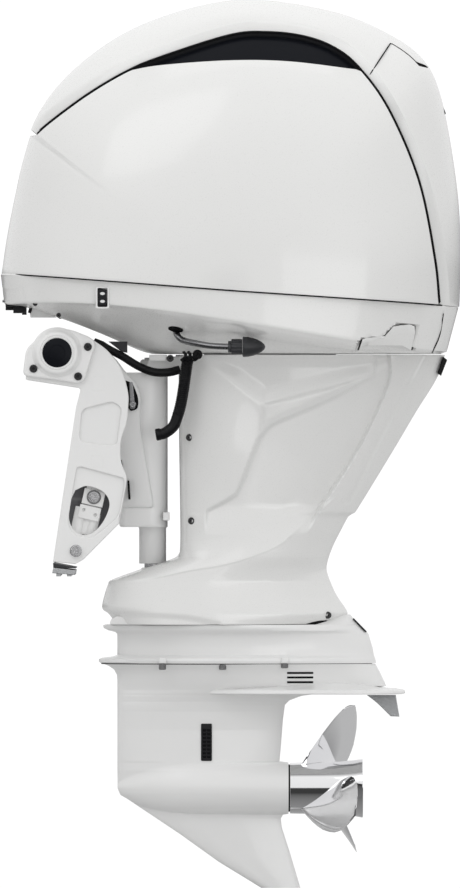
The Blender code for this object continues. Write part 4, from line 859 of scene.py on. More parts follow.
def make_pan_fittings():
    """Screws, nose connectors and tab under the pan, and the rubber tab behind it."""
    parts = []
    for x, z in ((-0.0396, 0.1755), (0.0120, 0.1500)):
        for side, _ in SIDES:
            place = side_place(x, side * (pan_half_width(x, z) + 0.0010), z, side)
            parts.append(disc_at("pan_screw", place, 0.0055, 0.004, "screw"))
    joined("pan_screws", parts, "motor")
    # A thin black line of painted shade in the pressed groove of the pan's rear seam.
    rear_line = []
    for x, z in smooth_line([(0.8551, 0.1540), (0.8468, 0.1056), (0.8303, 0.0680)], 8):
        rear_line.append((x, -(pan_half_width(x, z) - 0.0002), z))
    joined("pan_rear_seam", both_sides("pan_seam_shade_line", rear_line, 0.0013, "recess"), "motor")
    plugs = [block("plug", (x0, y0, z0), (x1, y1, z1), "black", 0.002)
             for x0, y0, z0, x1, y1, z1 in ((-0.1060, -0.060, 0.1700, -0.0560, 0.020, 0.1830),
                                            (-0.1060, -0.045, 0.1620, -0.0850, -0.015, 0.1720),
                                            (-0.0890, -0.055, 0.1555, -0.0620, -0.020, 0.1720),
                                            (-0.0700, -0.030, 0.1520, -0.0600, -0.012, 0.1700))]
    plugs.append(swept("plug_lead", smooth_line([(-0.060, -0.030, 0.180), (-0.050, -0.03, 0.172),
                                                  (-0.054, -0.03, 0.156)], 5), 0.0035, "rubber", sides=12))
    joined("cable_plugs", plugs, "motor")
    tip = lathe("plug_tip", [(0.0, 0.006), (0.003, 0.006), (0.003, 0.0), (0.0, 0.0)], (-0.107, -0.04, 0.182),
                (-1, 0, 0), "pipe", steps=16)
    joined("cable_plug_tip", [tip], "motor")
    tab = prism("tab", [(-0.0560, 0.1760), (-0.0515, 0.1462), (0.0060, 0.1462), (-0.0200, 0.1640)],
                -0.030, 0.030, "casting_paint", 0.001)
    joined("nose_tab", [tab], "motor")
    rear = prism("rear_tab", [(0.8560, 0.0600), (0.8650, 0.0530), (0.8515, 0.0180), (0.8430, 0.0240)], -0.020,
                 0.020, "rubber", 0.002)
    joined("rear_rubber_tab", [rear], "motor")


# ---------------------------------------------------------------- pipes and cables

def make_flush():
    """Flushing pipe out of a hole in the pan's side, and its screw connector with a ribbed nut."""
    low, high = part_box("flush_connector")
    y, z = (low.y + high.y) / 2, (low.z + high.z) / 2
    start_y = -pan_half_width(0.2684, 0.1150)
    route = smooth_line([(0.2680, start_y + 0.010, 0.1180), (0.2720, start_y - 0.006, 0.1060),
                         (0.2840, start_y - 0.014, 0.0955), (0.3146, (start_y + y) / 2 - 0.010, 0.0880),
                         (0.3464, y + 0.004, z + 0.0020), (0.3840, y, z)], 8)
    pipe = swept("flush_pipe_tube", route, 0.0070, "pipe", sides=24)
    joined("flush_pipe_metal", [pipe], "motor", "flush_pipe")
    # A flat black disc of painted shade stands for the open hole in the pan.
    rim = disc_at("flush_hole", pan_place(0.2684, 0.1195, PORT, 0.0012), 0.0165, 0.0008, "recess", 0.5)
    joined("flush_hole_painted_shade", [rim], "motor")
    start = Vector((0.3830, y, z))
    collar = lathe("collar", [(0.0, 0.0), (0.0120, 0.0), (0.0130, 0.001), (0.0130, 0.0065), (0.0125, 0.0075),
                              (0.0, 0.0075)], start, (1, 0, 0), "grey_plastic")
    ribs = []
    for t in span(0, 2 * math.pi, 96)[:-1]:
        ribs.append(0.0163 + 0.0010 * float(smoothstep(0.5 + 1.6 * math.cos(14 * t))))
    rings = []
    for along, grow in ((0.0070, 0.80), (0.0075, 0.97), (0.0090, 1.0), (0.0290, 1.0), (0.0305, 0.97),
                        (0.0310, 0.8)):
        ring = []
        for t, radius in zip(span(0, 2 * math.pi, 96)[:-1], ribs):
            ring.append((start.x + along, y + radius * grow * math.cos(t), z + radius * grow * math.sin(t)))
        rings.append(ring)
    nut = loft("nut", rings, "grey_plastic", sharp=50)
    cone = lathe("cone", [(0.0, 0.0), (0.0195, 0.0), (0.0222, 0.0010), (0.0225, 0.0040), (0.0218, 0.0120),
                          (0.0195, 0.0230), (0.0160, 0.0330), (0.0110, 0.0420), (0.0055, 0.0480),
                          (0.0, 0.0500)], start + Vector((0.0315, 0, 0)), (1, 0, 0), "grey_plastic")
    joined("flush_screw_connector", [collar, nut, cone], "flush_connector_body", "flush_connector")


def ribbed(name, path, radius, depth, pitch, look, sides=24):
    """A corrugated hose along a path."""
    path = np.array([tuple(p) for p in path], float)
    steps = np.linalg.norm(np.diff(path, axis=0), axis=1)
    along = np.concatenate([[0], np.cumsum(steps)])
    count = int(along[-1] / pitch * 6)
    where = np.linspace(0, along[-1], count)
    fine = np.stack([np.interp(where, along, path[:, k]) for k in range(3)], axis=1)
    radii = radius - depth * (0.5 + 0.5 * np.cos(where / pitch * 2 * math.pi))
    return swept(name, fine, radii, look, sides=sides)


def make_hose():
    low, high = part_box("drain_hose")
    y = (low.y + high.y) / 2
    route = smooth_line([(0.2965, y, 0.0560), (0.2926, y, 0.0400), (0.2860, y, -0.0066),
                         (0.2800, y, -0.0420), (0.2728, y, -0.0690), (0.2630, y, -0.0930),
                         (0.2440, y, -0.1080), (0.2300, y, -0.1110)], 14)
    top = len(route) * 4 // 7
    upper = ribbed("hose_upper", route[:top + 1], 0.0130, 0.0011, 0.0044, "rubber")
    lower = swept("hose_lower", route[top:], 0.0122, "rubber", sides=24)
    end = Vector(route[-1]) - Vector(route[-3])
    mouth = lathe("hose_mouth", [(0.0080, -0.006), (0.0115, -0.006), (0.0132, -0.004), (0.0132, 0.004),
                                 (0.0110, 0.006), (0.0090, 0.004)], route[-1], end, "rubber")
    joined("hose_ribbed", [upper, lower, mouth], "motor", "drain_hose")
    clips = [swept("clip", smooth_line([(x, y - 0.004, 0.0690), (x + 0.004, y - 0.014, 0.0640),
                                        (x + 0.001, y - 0.015, 0.0560), (x - 0.005, y - 0.008, 0.0520)],
                                       6), 0.0036, "rubber", sides=12) for x in (0.2860, 0.2960, 0.3140)]
    clips.append(block("clip_bar", (0.2880, y - 0.010, 0.0540), (0.3180, y + 0.004, 0.0610), "rubber", 0.002))
    clips.append(lathe("clip_ring", [(0.006, 0.0), (0.010, 0.0), (0.011, 0.003), (0.010, 0.006),
                                     (0.006, 0.006)], (0.3160, y - 0.008, 0.0640), (0, -1, 0), "rubber",
                       steps=24))
    joined("hose_clips", clips, "motor")


def make_harness():
    low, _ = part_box("wiring_harness")
    y = low.y + 0.0090
    route = smooth_line([(0.0900, y + 0.002, 0.0975), (0.1170, y, 0.0785), (0.1507, y, 0.0605),
                         (0.1848, y, 0.0396), (0.2178, y, 0.0264), (0.2508, y + 0.004, 0.0251),
                         (0.2760, y + 0.010, 0.0310)], 10)
    taper = np.interp(np.arange(len(route)), [0, 6, len(route)], [0.0035, 0.0085, 0.0095])
    sleeve = swept("sleeve", route, taper, "rubber", sides=20)
    joined("harness_sleeve", [sleeve], "motor", "wiring_harness")


# ---------------------------------------------------------------- aprons

# Front and rear edges of the apron in the side view, from the top down
APRON_FRONT = ((0.2740, 0.0640), (0.2745, 0.0100), (0.2755, -0.1300), (0.2775, -0.2600), (0.2780, -0.3500),
               (0.2740, -0.3740), (0.2560, -0.3865), (0.1840, -0.4100), (0.1290, -0.4300), (0.1190, -0.4400),
               (0.1060, -0.4900), (0.1200, -0.5050), (0.1370, -0.5270))
APRON_REAR = ((0.8600, 0.0640), (0.8426, 0.0132), (0.7964, -0.0616), (0.7535, -0.1342), (0.6820, -0.2519),
              (0.6600, -0.2850), (0.6490, -0.2895), (0.6292, -0.3256), (0.6138, -0.3564), (0.6028, -0.3872),
              (0.6000, -0.4092), (0.6094, -0.4378), (0.6239, -0.4679), (0.6450, -0.5000), (0.6400, -0.5140),
              (0.6200, -0.5270))
# Height, half width and the half width of the open front
APRON_WIDTHS = ((0.0640, 0.1260, 0.052), (0.0132, 0.1230, 0.052), (-0.0616, 0.1170, 0.052),
                (-0.1340, 0.1110, 0.052), (-0.2520, 0.1040, 0.052), (-0.3256, 0.1020, 0.052),
                (-0.3760, 0.1030, 0.052), (-0.3900, 0.1035, 0.050), (-0.4100, 0.1045, 0.046),
                (-0.4356, 0.1060, 0.030), (-0.4700, 0.1090, 0.004), (-0.5030, 0.1120, 0.001),
                (-0.5270, 0.1130, 0.001))
CREASE = ((0.3340, -0.2760), (0.3880, -0.2464), (0.4044, -0.2266), (0.4415, -0.1353), (0.4541, -0.1100),
          (0.4789, -0.0856), (0.5401, -0.0594), (0.6138, -0.0264), (0.6985, 0.0187))
REAR_BORDER = ((0.7379, 0.0700), (0.7421, 0.0352), (0.7379, 0.0015), (0.7150, -0.0565), (0.6695, -0.1474),
               (0.6197, -0.2266), (0.5867, -0.2761), (0.5600, -0.3250))
UPPER_BORDER = ((0.3100, 0.0700), (0.3256, 0.0572), (0.4334, -0.0220), (0.4576, -0.0411), (0.5400, -0.0205),
                (0.6985, 0.0198))
SKIRT_RIDGE = ((0.0900, -0.4380), (0.1400, -0.4335), (0.2178, -0.4268), (0.3000, -0.4100), (0.3630, -0.4000),
               (0.4209, -0.3845), (0.4873, -0.3586), (0.5203, -0.3344), (0.5577, -0.3010))
REAR_GROOVE = ((0.8105, 0.0640), (0.7069, -0.1353), (0.6653, -0.2264), (0.6468, -0.2596))
SKIRT_NOTCH = ((0.1000, -0.5110), (0.1740, -0.5070), (0.2860, -0.5120), (0.3630, -0.5270))
SPLIT_GAP = 0.0006
APRON_SCREWS = ((0.2981, -0.1177), (0.3027, -0.3007), (0.6024, -0.5082))


def by_height(line, z, column=0):
    """The value of a line at heights, from its smoothed points."""
    fine = smooth_line(line, 6)
    order = np.argsort(fine[:, -1] if len(line[0]) == 2 else fine[:, 0])
    heights = fine[:, -1] if len(line[0]) == 2 else fine[:, 0]
    return np.interp(z, heights[order], fine[:, column][order])


def apron_depth(share, half_width, open_front):
    """Half width of the apron at a share of its length: blunt at the front, tapering to its rear edge."""
    nose = np.minimum(1.0, share / 0.22)
    tail = np.maximum(0.0, (share - 0.40) / 0.60)
    swell = open_front + (half_width - open_front) * np.sqrt(1 - (1 - nose) ** 2.4)
    return swell * (1 - tail ** 2.0) ** 0.75 + SPLIT_GAP


def apron_relief(x, z):
    """How far the sculpted surface stands out of the plain section, in metres."""
    crease = smooth_line(CREASE, 5)
    border = smooth_line(REAR_BORDER, 5)
    upper = smooth_line(UPPER_BORDER[:4], 5)
    upper = np.vstack([upper, UPPER_BORDER[4:]])
    recess = np.vstack([crease, [(0.7020, 0.0700)], border, [(0.5000, -0.3600), (0.3300, -0.3300)]])
    within = inside(recess, x, z)
    away, _ = distance_to(crease, x, z)
    depth = 0.0105 + 0.0160 * smoothstep(away / 0.24)
    out = -depth * smoothstep((within + 0.001) / 0.009) * smoothstep((z + 0.335) / 0.075)
    top = np.vstack([upper, [(0.7600, 0.0700)]])
    under_pan = inside(top, x, z)
    out -= 0.0105 * smoothstep((under_pan + 0.010) / 0.045)
    bulge = np.hypot((x - 0.385) / 0.085, (z + 0.130) / 0.140)
    out += 0.0050 * smoothstep(1 - bulge) * (within < 0)
    blade = inside(np.vstack([[(0.4576, -0.0411)], [(0.6985, 0.0195)], crease[::-1][:24]]), x, z)
    out += 0.0050 * smoothstep(blade / 0.013)
    ridge = smooth_line(SKIRT_RIDGE, 6)
    near, side = distance_to(ridge, x, z)
    below = smoothstep(0.5 - side * near / 0.004)
    reach = smoothstep(1 - (x - 0.50) / 0.14)
    out += reach * np.where(side > 0, 0.0135 * np.clip(1 - near / 0.062, 0, 1) ** 1.7, 0.0135)
    out -= 0.0015 * below * reach
    near, side = distance_to(smooth_line(SKIRT_NOTCH, 6), x, z)
    out -= 0.0050 * smoothstep(0.5 - side * near / 0.014) * (x < 0.37)
    out -= 0.0035 * stroke(x, z, REAR_GROOVE, 0.010)
    for sx, sz in APRON_SCREWS:
        out -= 0.0015 * smoothstep(1.6 - np.hypot(x - sx, z - sz) / 0.0075)
    return out


def apron_grid():
    """Points of the port half: rows from the top down, columns from the front edge to the rear."""
    z = np.concatenate([np.linspace(0.0640, -0.3500, 150), np.linspace(-0.3515, -0.5270, 90)])
    fine = np.linspace(0, 1, 171)
    share = np.clip(0.5 - 0.5 * np.cos(fine * math.pi), 0, 1) * 0.55 + fine * 0.45
    front, rear = by_height(APRON_FRONT, z), by_height(APRON_REAR, z)
    half, mouth = by_height(APRON_WIDTHS, z, 1), by_height(APRON_WIDTHS, z, 2)
    x = front[:, None] + (rear - front)[:, None] * share[None, :]
    zz = np.broadcast_to(z[:, None], x.shape)
    depth = apron_depth(share[None, :], half[:, None], mouth[:, None])
    ease = smoothstep(share / 0.03) * smoothstep((1 - share) / 0.03)
    rim = stroke(x, zz, list(zip(front[:150] + 0.0115, z[:150])), 0.0030)
    depth = np.maximum(SPLIT_GAP, depth + (apron_relief(x, zz) - 0.0014 * rim) * ease[None, :])
    return np.stack([x, -depth, zz], axis=-1)


def make_aprons():
    points = apron_grid()
    skin = lipped(points, ("c0", "r1"), 0.0018, 0.006)
    top = np.concatenate([points[:1] + (0, 0.010, 0), points[:1]])
    for side, word in SIDES:
        flip = np.array((1, -side, 1))
        half = shell("apron_skin_" + word, [skin * flip, top * flip], "paint", mirror=False, sharp=50)
        if side == STARBOARD:
            face_out(half)
        joined("apron_cover_" + word, [half], "motor", "apron_" + word)
        screws = []
        for x, z in APRON_SCREWS:
            nearest = points.reshape(-1, 3)[np.argmin(np.hypot(points[..., 0] - x, points[..., 2] - z))]
            place = side_place(x, -side * (nearest[1] + 0.001), z, side)
            screws.append(disc_at("apron_screw", place, 0.0078, 0.0045, "screw"))
        joined("apron_screws_" + word, screws, "motor")


# ---------------------------------------------------------------- casing and lower unit

# Height, front x, rear x and half width of the casing's oval sections
CASING_LEVELS = ((-0.5286, 0.150, 0.640, 0.090), (-0.5288, 0.113, 0.672, 0.1150),
                 (-0.5305, 0.1080, 0.674, 0.1160), (-0.5370, 0.1095, 0.680, 0.1155),
                 (-0.5420, 0.1200, 0.685, 0.1120), (-0.5455, 0.1350, 0.689, 0.1010),
                 (-0.5500, 0.1390, 0.692, 0.0980), (-0.5800, 0.1395, 0.701, 0.0975),
                 (-0.5960, 0.1392, 0.704, 0.0980), (-0.5995, 0.1280, 0.705, 0.1030),
                 (-0.6020, 0.1060, 0.706, 0.1140), (-0.6050, 0.0990, 0.707, 0.1160),
                 (-0.6110, 0.0990, 0.708, 0.1160), (-0.6140, 0.1040, 0.709, 0.1140))
THROAT_LEVELS = ((-0.6152, 0.1080, 0.706, 0.1125), (-0.6200, 0.1200, 0.710, 0.1060),
                 (-0.6280, 0.1320, 0.714, 0.0990), (-0.6400, 0.1385, 0.720, 0.0930),
                 (-0.6550, 0.1395, 0.727, 0.0860), (-0.6642, 0.1395, 0.731, 0.0797))
# Front and rear edges of the strut, torpedo and skeg in the side view, from the top down
KEEL_FRONT = ((0.1395, -0.6640), (0.1395, -0.7600), (0.1395, -0.8500), (0.1400, -0.8900), (0.1460, -0.9040),
              (0.1600, -0.9120), (0.2770, -0.9900), (0.3630, -1.0516), (0.4560, -1.1085))
KEEL_REAR = ((0.7310, -0.6640), (0.6900, -0.6720), (0.6000, -0.6790), (0.5450, -0.6860), (0.5180, -0.6960),
             (0.5080, -0.7060), (0.5035, -0.7400), (0.4990, -0.8000),
             (0.4960, -0.8300), (0.5158, -0.8325), (0.5158, -0.8890), (0.5158, -0.9455), (0.5040, -0.9470),
             (0.4990, -0.9560), (0.5010, -0.9750), (0.5190, -1.0307), (0.5422, -1.1085))
TORPEDO_RADIUS = 0.0572


def oval_ring(front, rear, half_width, z, count=120, nose=2.0, tail=1.3):
    """A pointed oval in plan, with a blunter front than tail."""
    t = span(0, 2 * math.pi, count)[:-1]
    c, s = np.cos(t), np.sin(t)
    power = np.where(c > 0, nose / tail, 1.0)
    x = (front + rear) / 2 + (rear - front) / 2 * np.sign(c) * np.abs(c) ** (2 / nose)
    y = half_width * np.sign(s) * np.abs(s) ** power
    return np.stack([x, y, np.full_like(x, z)], axis=-1)


def make_casing():
    body = loft("casing", [oval_ring(f, r, w, z) for z, f, r, w in CASING_LEVELS], "gearcase_paint", sharp=45)
    pads = [block("pad", (x - 0.008, -0.1135, -0.6135), (x + 0.008, -0.1040, -0.6000), "gearcase_paint",
                  0.003) for x in (0.239, 0.373, 0.5075)]
    rise = loft("rise", [oval_ring(0.630, 0.6520, 0.0140, -0.5070, 60),
                         oval_ring(0.600, 0.6578, 0.0260, -0.5148, 60),
                         oval_ring(0.480, 0.6725, 0.0560, -0.5290, 60)], "gearcase_paint", sharp=60)
    rear = prism("vent_strip", [(0.6575, -0.5165), (0.6595, -0.5150), (0.6880, -0.5440),
                                (0.6860, -0.5460)], -0.012, 0.012, "rubber", 0.0006)
    # A black band of painted shade in the groove between casing and throat.
    seam = loft("seam", [oval_ring(0.104, 0.700, 0.1120, z) for z in (-0.6160, -0.6135)], "recess")
    joined("casing_skin", [body, rise, *pads], "motor", "upper_casing")
    shelf = [prism("shelf", rounded([(0.1230, -0.5288), (0.1250, -0.5180), (0.1400, -0.5090),
                                     (0.1620, -0.5130), (0.1900, -0.5190), (0.1950, -0.5288)], 0.005),
                   side * 0.055 - 0.030, side * 0.055 + 0.030, "gearcase_paint", 0.003)
             for side, _ in SIDES]
    joined("casing_shelf", shelf, "motor")
    joined("casing_seam", [seam], "motor")
    joined("casing_rear_vent", [rear], "motor")
    gap = loft("gap", [oval_ring(0.150, 0.640, 0.100, z) for z in (-0.5290, -0.5200)], "recess")
    joined("apron_gap_shadow", [gap], "motor")


def keel_grid():
    """Port side of strut, torpedo and skeg as one blended surface."""
    z = np.unique(np.concatenate([np.linspace(-0.6640, -0.7200, 40), np.linspace(-0.7200, -0.8300, 40),
                                  np.linspace(-0.8300, -0.8335, 4), np.linspace(-0.8335, -0.9455, 70),
                                  np.linspace(-0.9455, -0.9600, 8),
                                  np.linspace(-0.9600, -1.1085, 40)]))[::-1]
    fine = np.linspace(0, 1, 141)
    share = 0.35 * fine + 0.65 * (0.5 - 0.5 * np.cos(math.pi * fine))
    front = np.interp(-z, [-p[1] for p in KEEL_FRONT], [p[0] for p in KEEL_FRONT])
    rear = np.interp(-z, [-p[1] for p in KEEL_REAR], [p[0] for p in KEEL_REAR])
    x = front[:, None] + (rear - front)[:, None] * share[None, :]
    zz = np.broadcast_to(z[:, None], x.shape)
    height = np.interp(-z, (0.664, 0.672, 0.684, 0.698, 0.720, 0.760, 0.850, 0.900, 0.940),
                       (0.0797, 0.0725, 0.0610, 0.0520, 0.0460, 0.043, 0.044, 0.036, 0.012))
    skeg = np.interp(-z, (0.880, 0.930, 0.985, 1.050, 1.1085), (0.022, 0.0130, 0.0085, 0.0065, 0.0045))
    rounding = np.sqrt(np.maximum(0.0, 1 - (1 - np.minimum(1, share / 0.30)) ** 2.2))
    closing = np.sqrt(np.maximum(0.0, 1 - np.maximum(0, (share - 0.45) / 0.55) ** 2.1)) * 0.93 + 0.07
    blade = rounding * closing
    turn = 2 * share - 1
    oval = np.maximum(0.0, 1 - turn ** 2) ** np.where(turn > 0, 1 / 1.3, 0.5)
    upper = smoothstep((z + 0.7250) / 0.060)[:, None]
    strut = height[:, None] * (oval[None, :] * upper + blade[None, :] * (1 - upper))
    fin = skeg[:, None] * (rounding * closing)[None, :]
    radius = TORPEDO_RADIUS * np.sqrt(np.clip(1 - ((0.335 - x) / 0.198) ** 2, 0, 1))
    radius = np.where(x > 0.335, TORPEDO_RADIUS, radius)
    bulb = np.sqrt(np.maximum(0.0, radius ** 2 - (zz - PROP_Z) ** 2))
    body = np.maximum(strut, fin)
    depth = (body ** 5 + bulb ** 5) ** 0.2
    depth = np.where(share[None, :] == 0, 0.0, depth)
    return np.stack([x, -depth, zz], axis=-1)


def make_gearcase():
    throat = loft("throat", [oval_ring(f, r, w, z) for z, f, r, w in THROAT_LEVELS], "gearcase_paint",
                  sharp=50)
    plan = smooth_line([(0.262, 0.0), (0.330, 0.058), (0.430, 0.106), (0.560, 0.126), (0.680, 0.123),
                        (0.745, 0.094), (0.768, 0.045), (0.772, 0.0)], 8)
    outline = np.vstack([plan, plan[-2:0:-1] * (1, -1)])
    rings = []
    for shrink, z, drop in ((0.30, -0.6815, 0.0), (0.975, -0.6815, 0.0), (1.0, -0.6800, 0.0),
                            (1.0, -0.6750, 0.0006), (0.985, -0.6722, 0.0014), (0.93, -0.6705, 0.0020),
                            (0.76, -0.6670, 0.0030), (0.56, -0.6600, 0.0040), (0.40, -0.6550, 0.0)):
        ring = (outline - (0.56, 0)) * shrink + (0.56, 0)
        tip = 1 - smoothstep((ring[:, 0] - 0.262) / 0.10)
        rings.append([(x, y, z - drop * t * 3) for (x, y), t in zip(ring, tip)])
    plate = loft("plate", rings, "gearcase_paint", sharp=50)
    points = keel_grid()
    strip = np.stack([points[:, -1], points[:, -1] * (1, -1, 1)])
    sole = np.stack([points[-1], points[-1] * (1, -1, 1)])
    keel = shell("keel", [points], "gearcase_paint", sharp=40)
    ends = shell("keel_ends", [strip, sole], "gearcase_paint", mirror=False)
    joined("gearcase_skin", [throat, plate, keel, ends], "motor", "gearcase")
    # Exhaust slots: flat black strips of painted shade laid on the throat where the openings are.
    slots = []
    for z in (-0.6347, -0.6446, -0.6551):
        run = np.linspace(0.5125, 0.5700, 14)
        rows = [[(x, -throat_half_width(x, h) - 0.0006, h) for x in run] for h in (z - 0.0022, z + 0.0022)]
        slots.append(shell("slot", [np.array(rows)], "recess"))
    joined("exhaust_slots", slots, "motor")
    bolts = []
    for x, z in ((0.239, -0.6225), (0.371, -0.6225), (0.507, -0.6190)):
        for side, _ in SIDES:
            bolts.append(lathe("bolt", [(0.0, -0.008), (0.0080, -0.008), (0.0080, 0.0015),
                                        (0.0060, 0.003), (0.0, 0.003)], (x, side * 0.1060, z - 0.002),
                               (0, 0, -1), "iron", steps=6))
    joined("casing_bolts", bolts, "motor")


def throat_half_width(x, z):
    """Half width of the throat's outside at a point of its side view."""
    values = np.array(THROAT_LEVELS)
    _, front, rear, half = (np.interp(-z, -values[:, 0], values[:, k]) for k in range(4))
    c = (x - (front + rear) / 2) / ((rear - front) / 2)
    return half * (1 - c * c) ** (2.0 / 1.3 / 2)


def make_grilles():
    for side, word in SIDES:
        depth = 0.0455
        y0, y1 = sorted((side * 0.030, side * (depth - 0.0012)))
        # The black box behind the bars is painted shade, seen through the grille's holes.
        back = block("back", (0.3240, y0, -0.8280), (0.3470, y1, -0.7470), "recess", 0.002)
        y0, y1 = sorted((side * 0.040, side * depth))
        holes = []
        for z in span(-0.8230, -0.7560, 8)[:-1]:
            for x in (0.3268, 0.3366):
                holes.append([(x, z), (x + 0.0080, z), (x + 0.0080, z + 0.0056), (x, z + 0.0056)])
        outline = [(0.3235, -0.8265), (0.3250, -0.8285), (0.3460, -0.8285), (0.3475, -0.8265),
                   (0.3475, -0.7485), (0.3460, -0.7465), (0.3250, -0.7465), (0.3235, -0.7485)]
        bars = prism("bars", outline, y0, y1, "black", 0.0006, holes, 1)
        joined("water_inlet_" + word, [back, bars], "motor", "inlet_grille_" + word)


# ---------------------------------------------------------------- propeller

PROP_RADIUS = 0.186
BLADE_ROOT = 0.05
BLADE_PITCH = 0.43
BLADE_PHASE = -13
BLADE_COUNT = 3
BLADE_SHARES = (0, 0.15, 0.4, 0.6, 0.8, 0.92, 0.98, 1.0)
BLADE_CHORDS = (0.108, 0.124, 0.142, 0.144, 0.120, 0.082, 0.046, 0.012)


def blade_ring(radius, count=22):
    """Closed section of a blade at a radius: a thin cambered strip that twists, rakes and sweeps aft."""
    share = (radius - BLADE_ROOT) / (PROP_RADIUS - BLADE_ROOT)
    chord = float(np.interp(share, BLADE_SHARES, BLADE_CHORDS))
    pitch = math.atan2(BLADE_PITCH, 2 * math.pi * radius)
    rake = 0.006 + 0.074 * share
    thick = 0.0070 * (1 - 0.70 * share)
    points = []
    for k in range(2 * count):
        u = k / count if k < count else 2 - k / count
        side = 1 if k < count else -1
        along = (u - 0.5) * chord
        arch = math.sin(math.pi * u)
        bulge = side * thick * arch ** 0.6 + 0.006 * arch * (1 - share * 0.5)
        ahead = along * math.sin(pitch) + bulge * math.cos(pitch)
        swing = (along * math.cos(pitch) - bulge * math.sin(pitch)) / radius
        points.append((ahead + rake, radius * math.sin(swing), radius * math.cos(swing)))
    return points


def make_propeller():
    hub = [(0.0550, 0.0), (0.0560, -0.0010), (0.0565, -0.0200), (0.0570, -0.0700), (0.0585, -0.1100),
           (0.0615, -0.1400), (0.0650, -0.1590), (0.0640, -0.1605), (0.0600, -0.1500), (0.0545, -0.1200),
           (0.0500, -0.0900), (0.0220, -0.0850), (0.0, -0.0850)]
    parts = [lathe("hub", hub, (0.5190, 0, PROP_Z), (-1, 0, 0), "polished", steps=96)]
    radii = [0.046, 0.054, 0.064, 0.078, 0.094, 0.110, 0.126, 0.142, 0.155, 0.166, 0.174, 0.180, 0.184,
             PROP_RADIUS]
    for i in range(BLADE_COUNT):
        blade = loft("blade", [blade_ring(r) for r in radii], "polished", sharp=60)
        blade.matrix_world = Matrix.Translation((0.578, 0, PROP_Z)) @ Matrix.Rotation(
            math.radians(BLADE_PHASE + 360 / BLADE_COUNT * i), 4, "X")
        parts.append(blade)
    joined("propeller_polished", parts, "propeller_body", "propeller")
    gap = lathe("hub_gap", [(0.0520, 0.0), (0.0520, -0.006)], (0.5150, 0, PROP_Z), (-1, 0, 0), "recess",
                steps=64)
    joined("hub_gap_shadow", [gap], "motor")


def make_tab():
    outline = smooth_line([(0.688, -0.684), (0.7120, -0.7030), (0.7405, -0.7310)], 4)
    outline = [tuple(p) for p in outline] + [(0.7600, -0.7318), (0.7520, -0.684)]
    tab = prism("tab", outline, -0.0055, 0.0055, "zinc", 0.0020)
    joined("trim_tab_zinc", [tab], "trim_tab_body", "trim_tab")


# ---------------------------------------------------------------- transom bracket

CLAMP_INNER, CLAMP_OUTER = (round(corner.y, 4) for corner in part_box("clamp_bracket_starboard"))
CLAMP_STEP = 0.0065
RAKE = math.radians(8.5)
BRACKET_SCREWS = ((0.0759, 0.0807), (0.0546, 0.0161), (-0.0431, 0.0330))


def face_x(z):
    """The transom-side face of the clamp brackets at a height."""
    return 0.0564 + math.tan(RAKE) * (z + 0.0084)


def line2(points, steps=5):
    return [tuple(p) for p in smooth_line(points, steps)]


def clamp_outline():
    tilt = (TILT_AXIS.x, TILT_AXIS.z)
    rear = line2([(0.0893, 0.0946), (0.1166, 0.0748), (0.1408, 0.0462), (0.1540, 0.0200),
                  (0.1640, -0.0200), (0.1645, -0.0480), (0.1606, -0.0858), (0.1483, -0.1250),
                  (0.1483, -0.1680), (0.1600, -0.2020), (0.1600, -0.2200)], 5)
    foot = [(0.1443, -0.3060), (0.0638, -0.3870), (0.0484, -0.3950), (face_x(-0.3900), -0.3900)]
    front = line2([(face_x(-0.0500), -0.0500), (face_x(-0.0250) + 0.003, -0.0250), (0.0590, -0.0130),
                   (0.0540, -0.0085)], 3)
    return arc(tilt, 0.0520, 175, 62, 10) + rear + foot + front + [(-0.0600, 0.0090), (-0.0610, 0.0400)]


def window_outline(grow=1.0):
    line = smooth_line([(0.0484, -0.2332), (0.0750, -0.2240), (0.1100, -0.2376), (0.1232, -0.2650),
                        (0.1080, -0.3040), (0.0800, -0.3300), (0.0506, -0.3256), (0.0352, -0.3000),
                        (0.0374, -0.2600), (0.0484, -0.2332)], 6)[:-1]
    centre = line.mean(axis=0)
    return [tuple(centre + (p - centre) * grow) for p in line]


def make_clamps():
    panel = rounded([(0.0625, -0.0560), (0.1300, -0.0385), (0.1500, -0.0520), (0.1390, -0.1365),
                     (0.0560, -0.1260)], 0.014)
    lower = rounded([(0.0515, -0.1840), (0.0600, -0.1815), (0.1545, -0.2070), (0.1560, -0.2200),
                     (0.1440, -0.2900), (0.1060, -0.3220), (0.0860, -0.3380), (0.0460, -0.3320),
                     (0.0310, -0.3080), (0.0400, -0.2500)], 0.016)
    for side, word in SIDES:
        deep = sorted((side * CLAMP_INNER, side * (CLAMP_OUTER - CLAMP_STEP)))
        face = sorted((side * (CLAMP_OUTER - CLAMP_STEP - 0.0002), side * CLAMP_OUTER))
        plate = prism("plate", clamp_outline(), *deep, "casting_paint", 0.0012, (window_outline(),), 2)
        rim = prism("rim", clamp_outline(), *face, "casting_paint", 0.0024, (panel, lower), 3)
        squares = []
        for x0, z0, size in ((0.0836, -0.0145, 0.030), (0.0836, -0.1830, 0.0265)):
            y0, y1 = sorted((side * (CLAMP_OUTER - 0.001), side * (CLAMP_OUTER + 0.0003)))
            outer = rounded([(x0, z0), (x0 + size, z0), (x0 + size, z0 + size), (x0, z0 + size)], 0.002)
            inner = rounded([(x0 + 0.0012, z0 + 0.0012), (x0 + size - 0.0012, z0 + 0.0012),
                             (x0 + size - 0.0012, z0 + size - 0.0012), (x0 + 0.0012, z0 + size - 0.0012)],
                            0.0015)
            squares.append(prism("square", outer, y0, y1, "casting_paint", 0.0003, (inner,), 1))
        joined("clamp_" + word, [plate, rim, *squares], "transom_bracket", "clamp_bracket_" + word)
        make_clamp_contents(side, word)


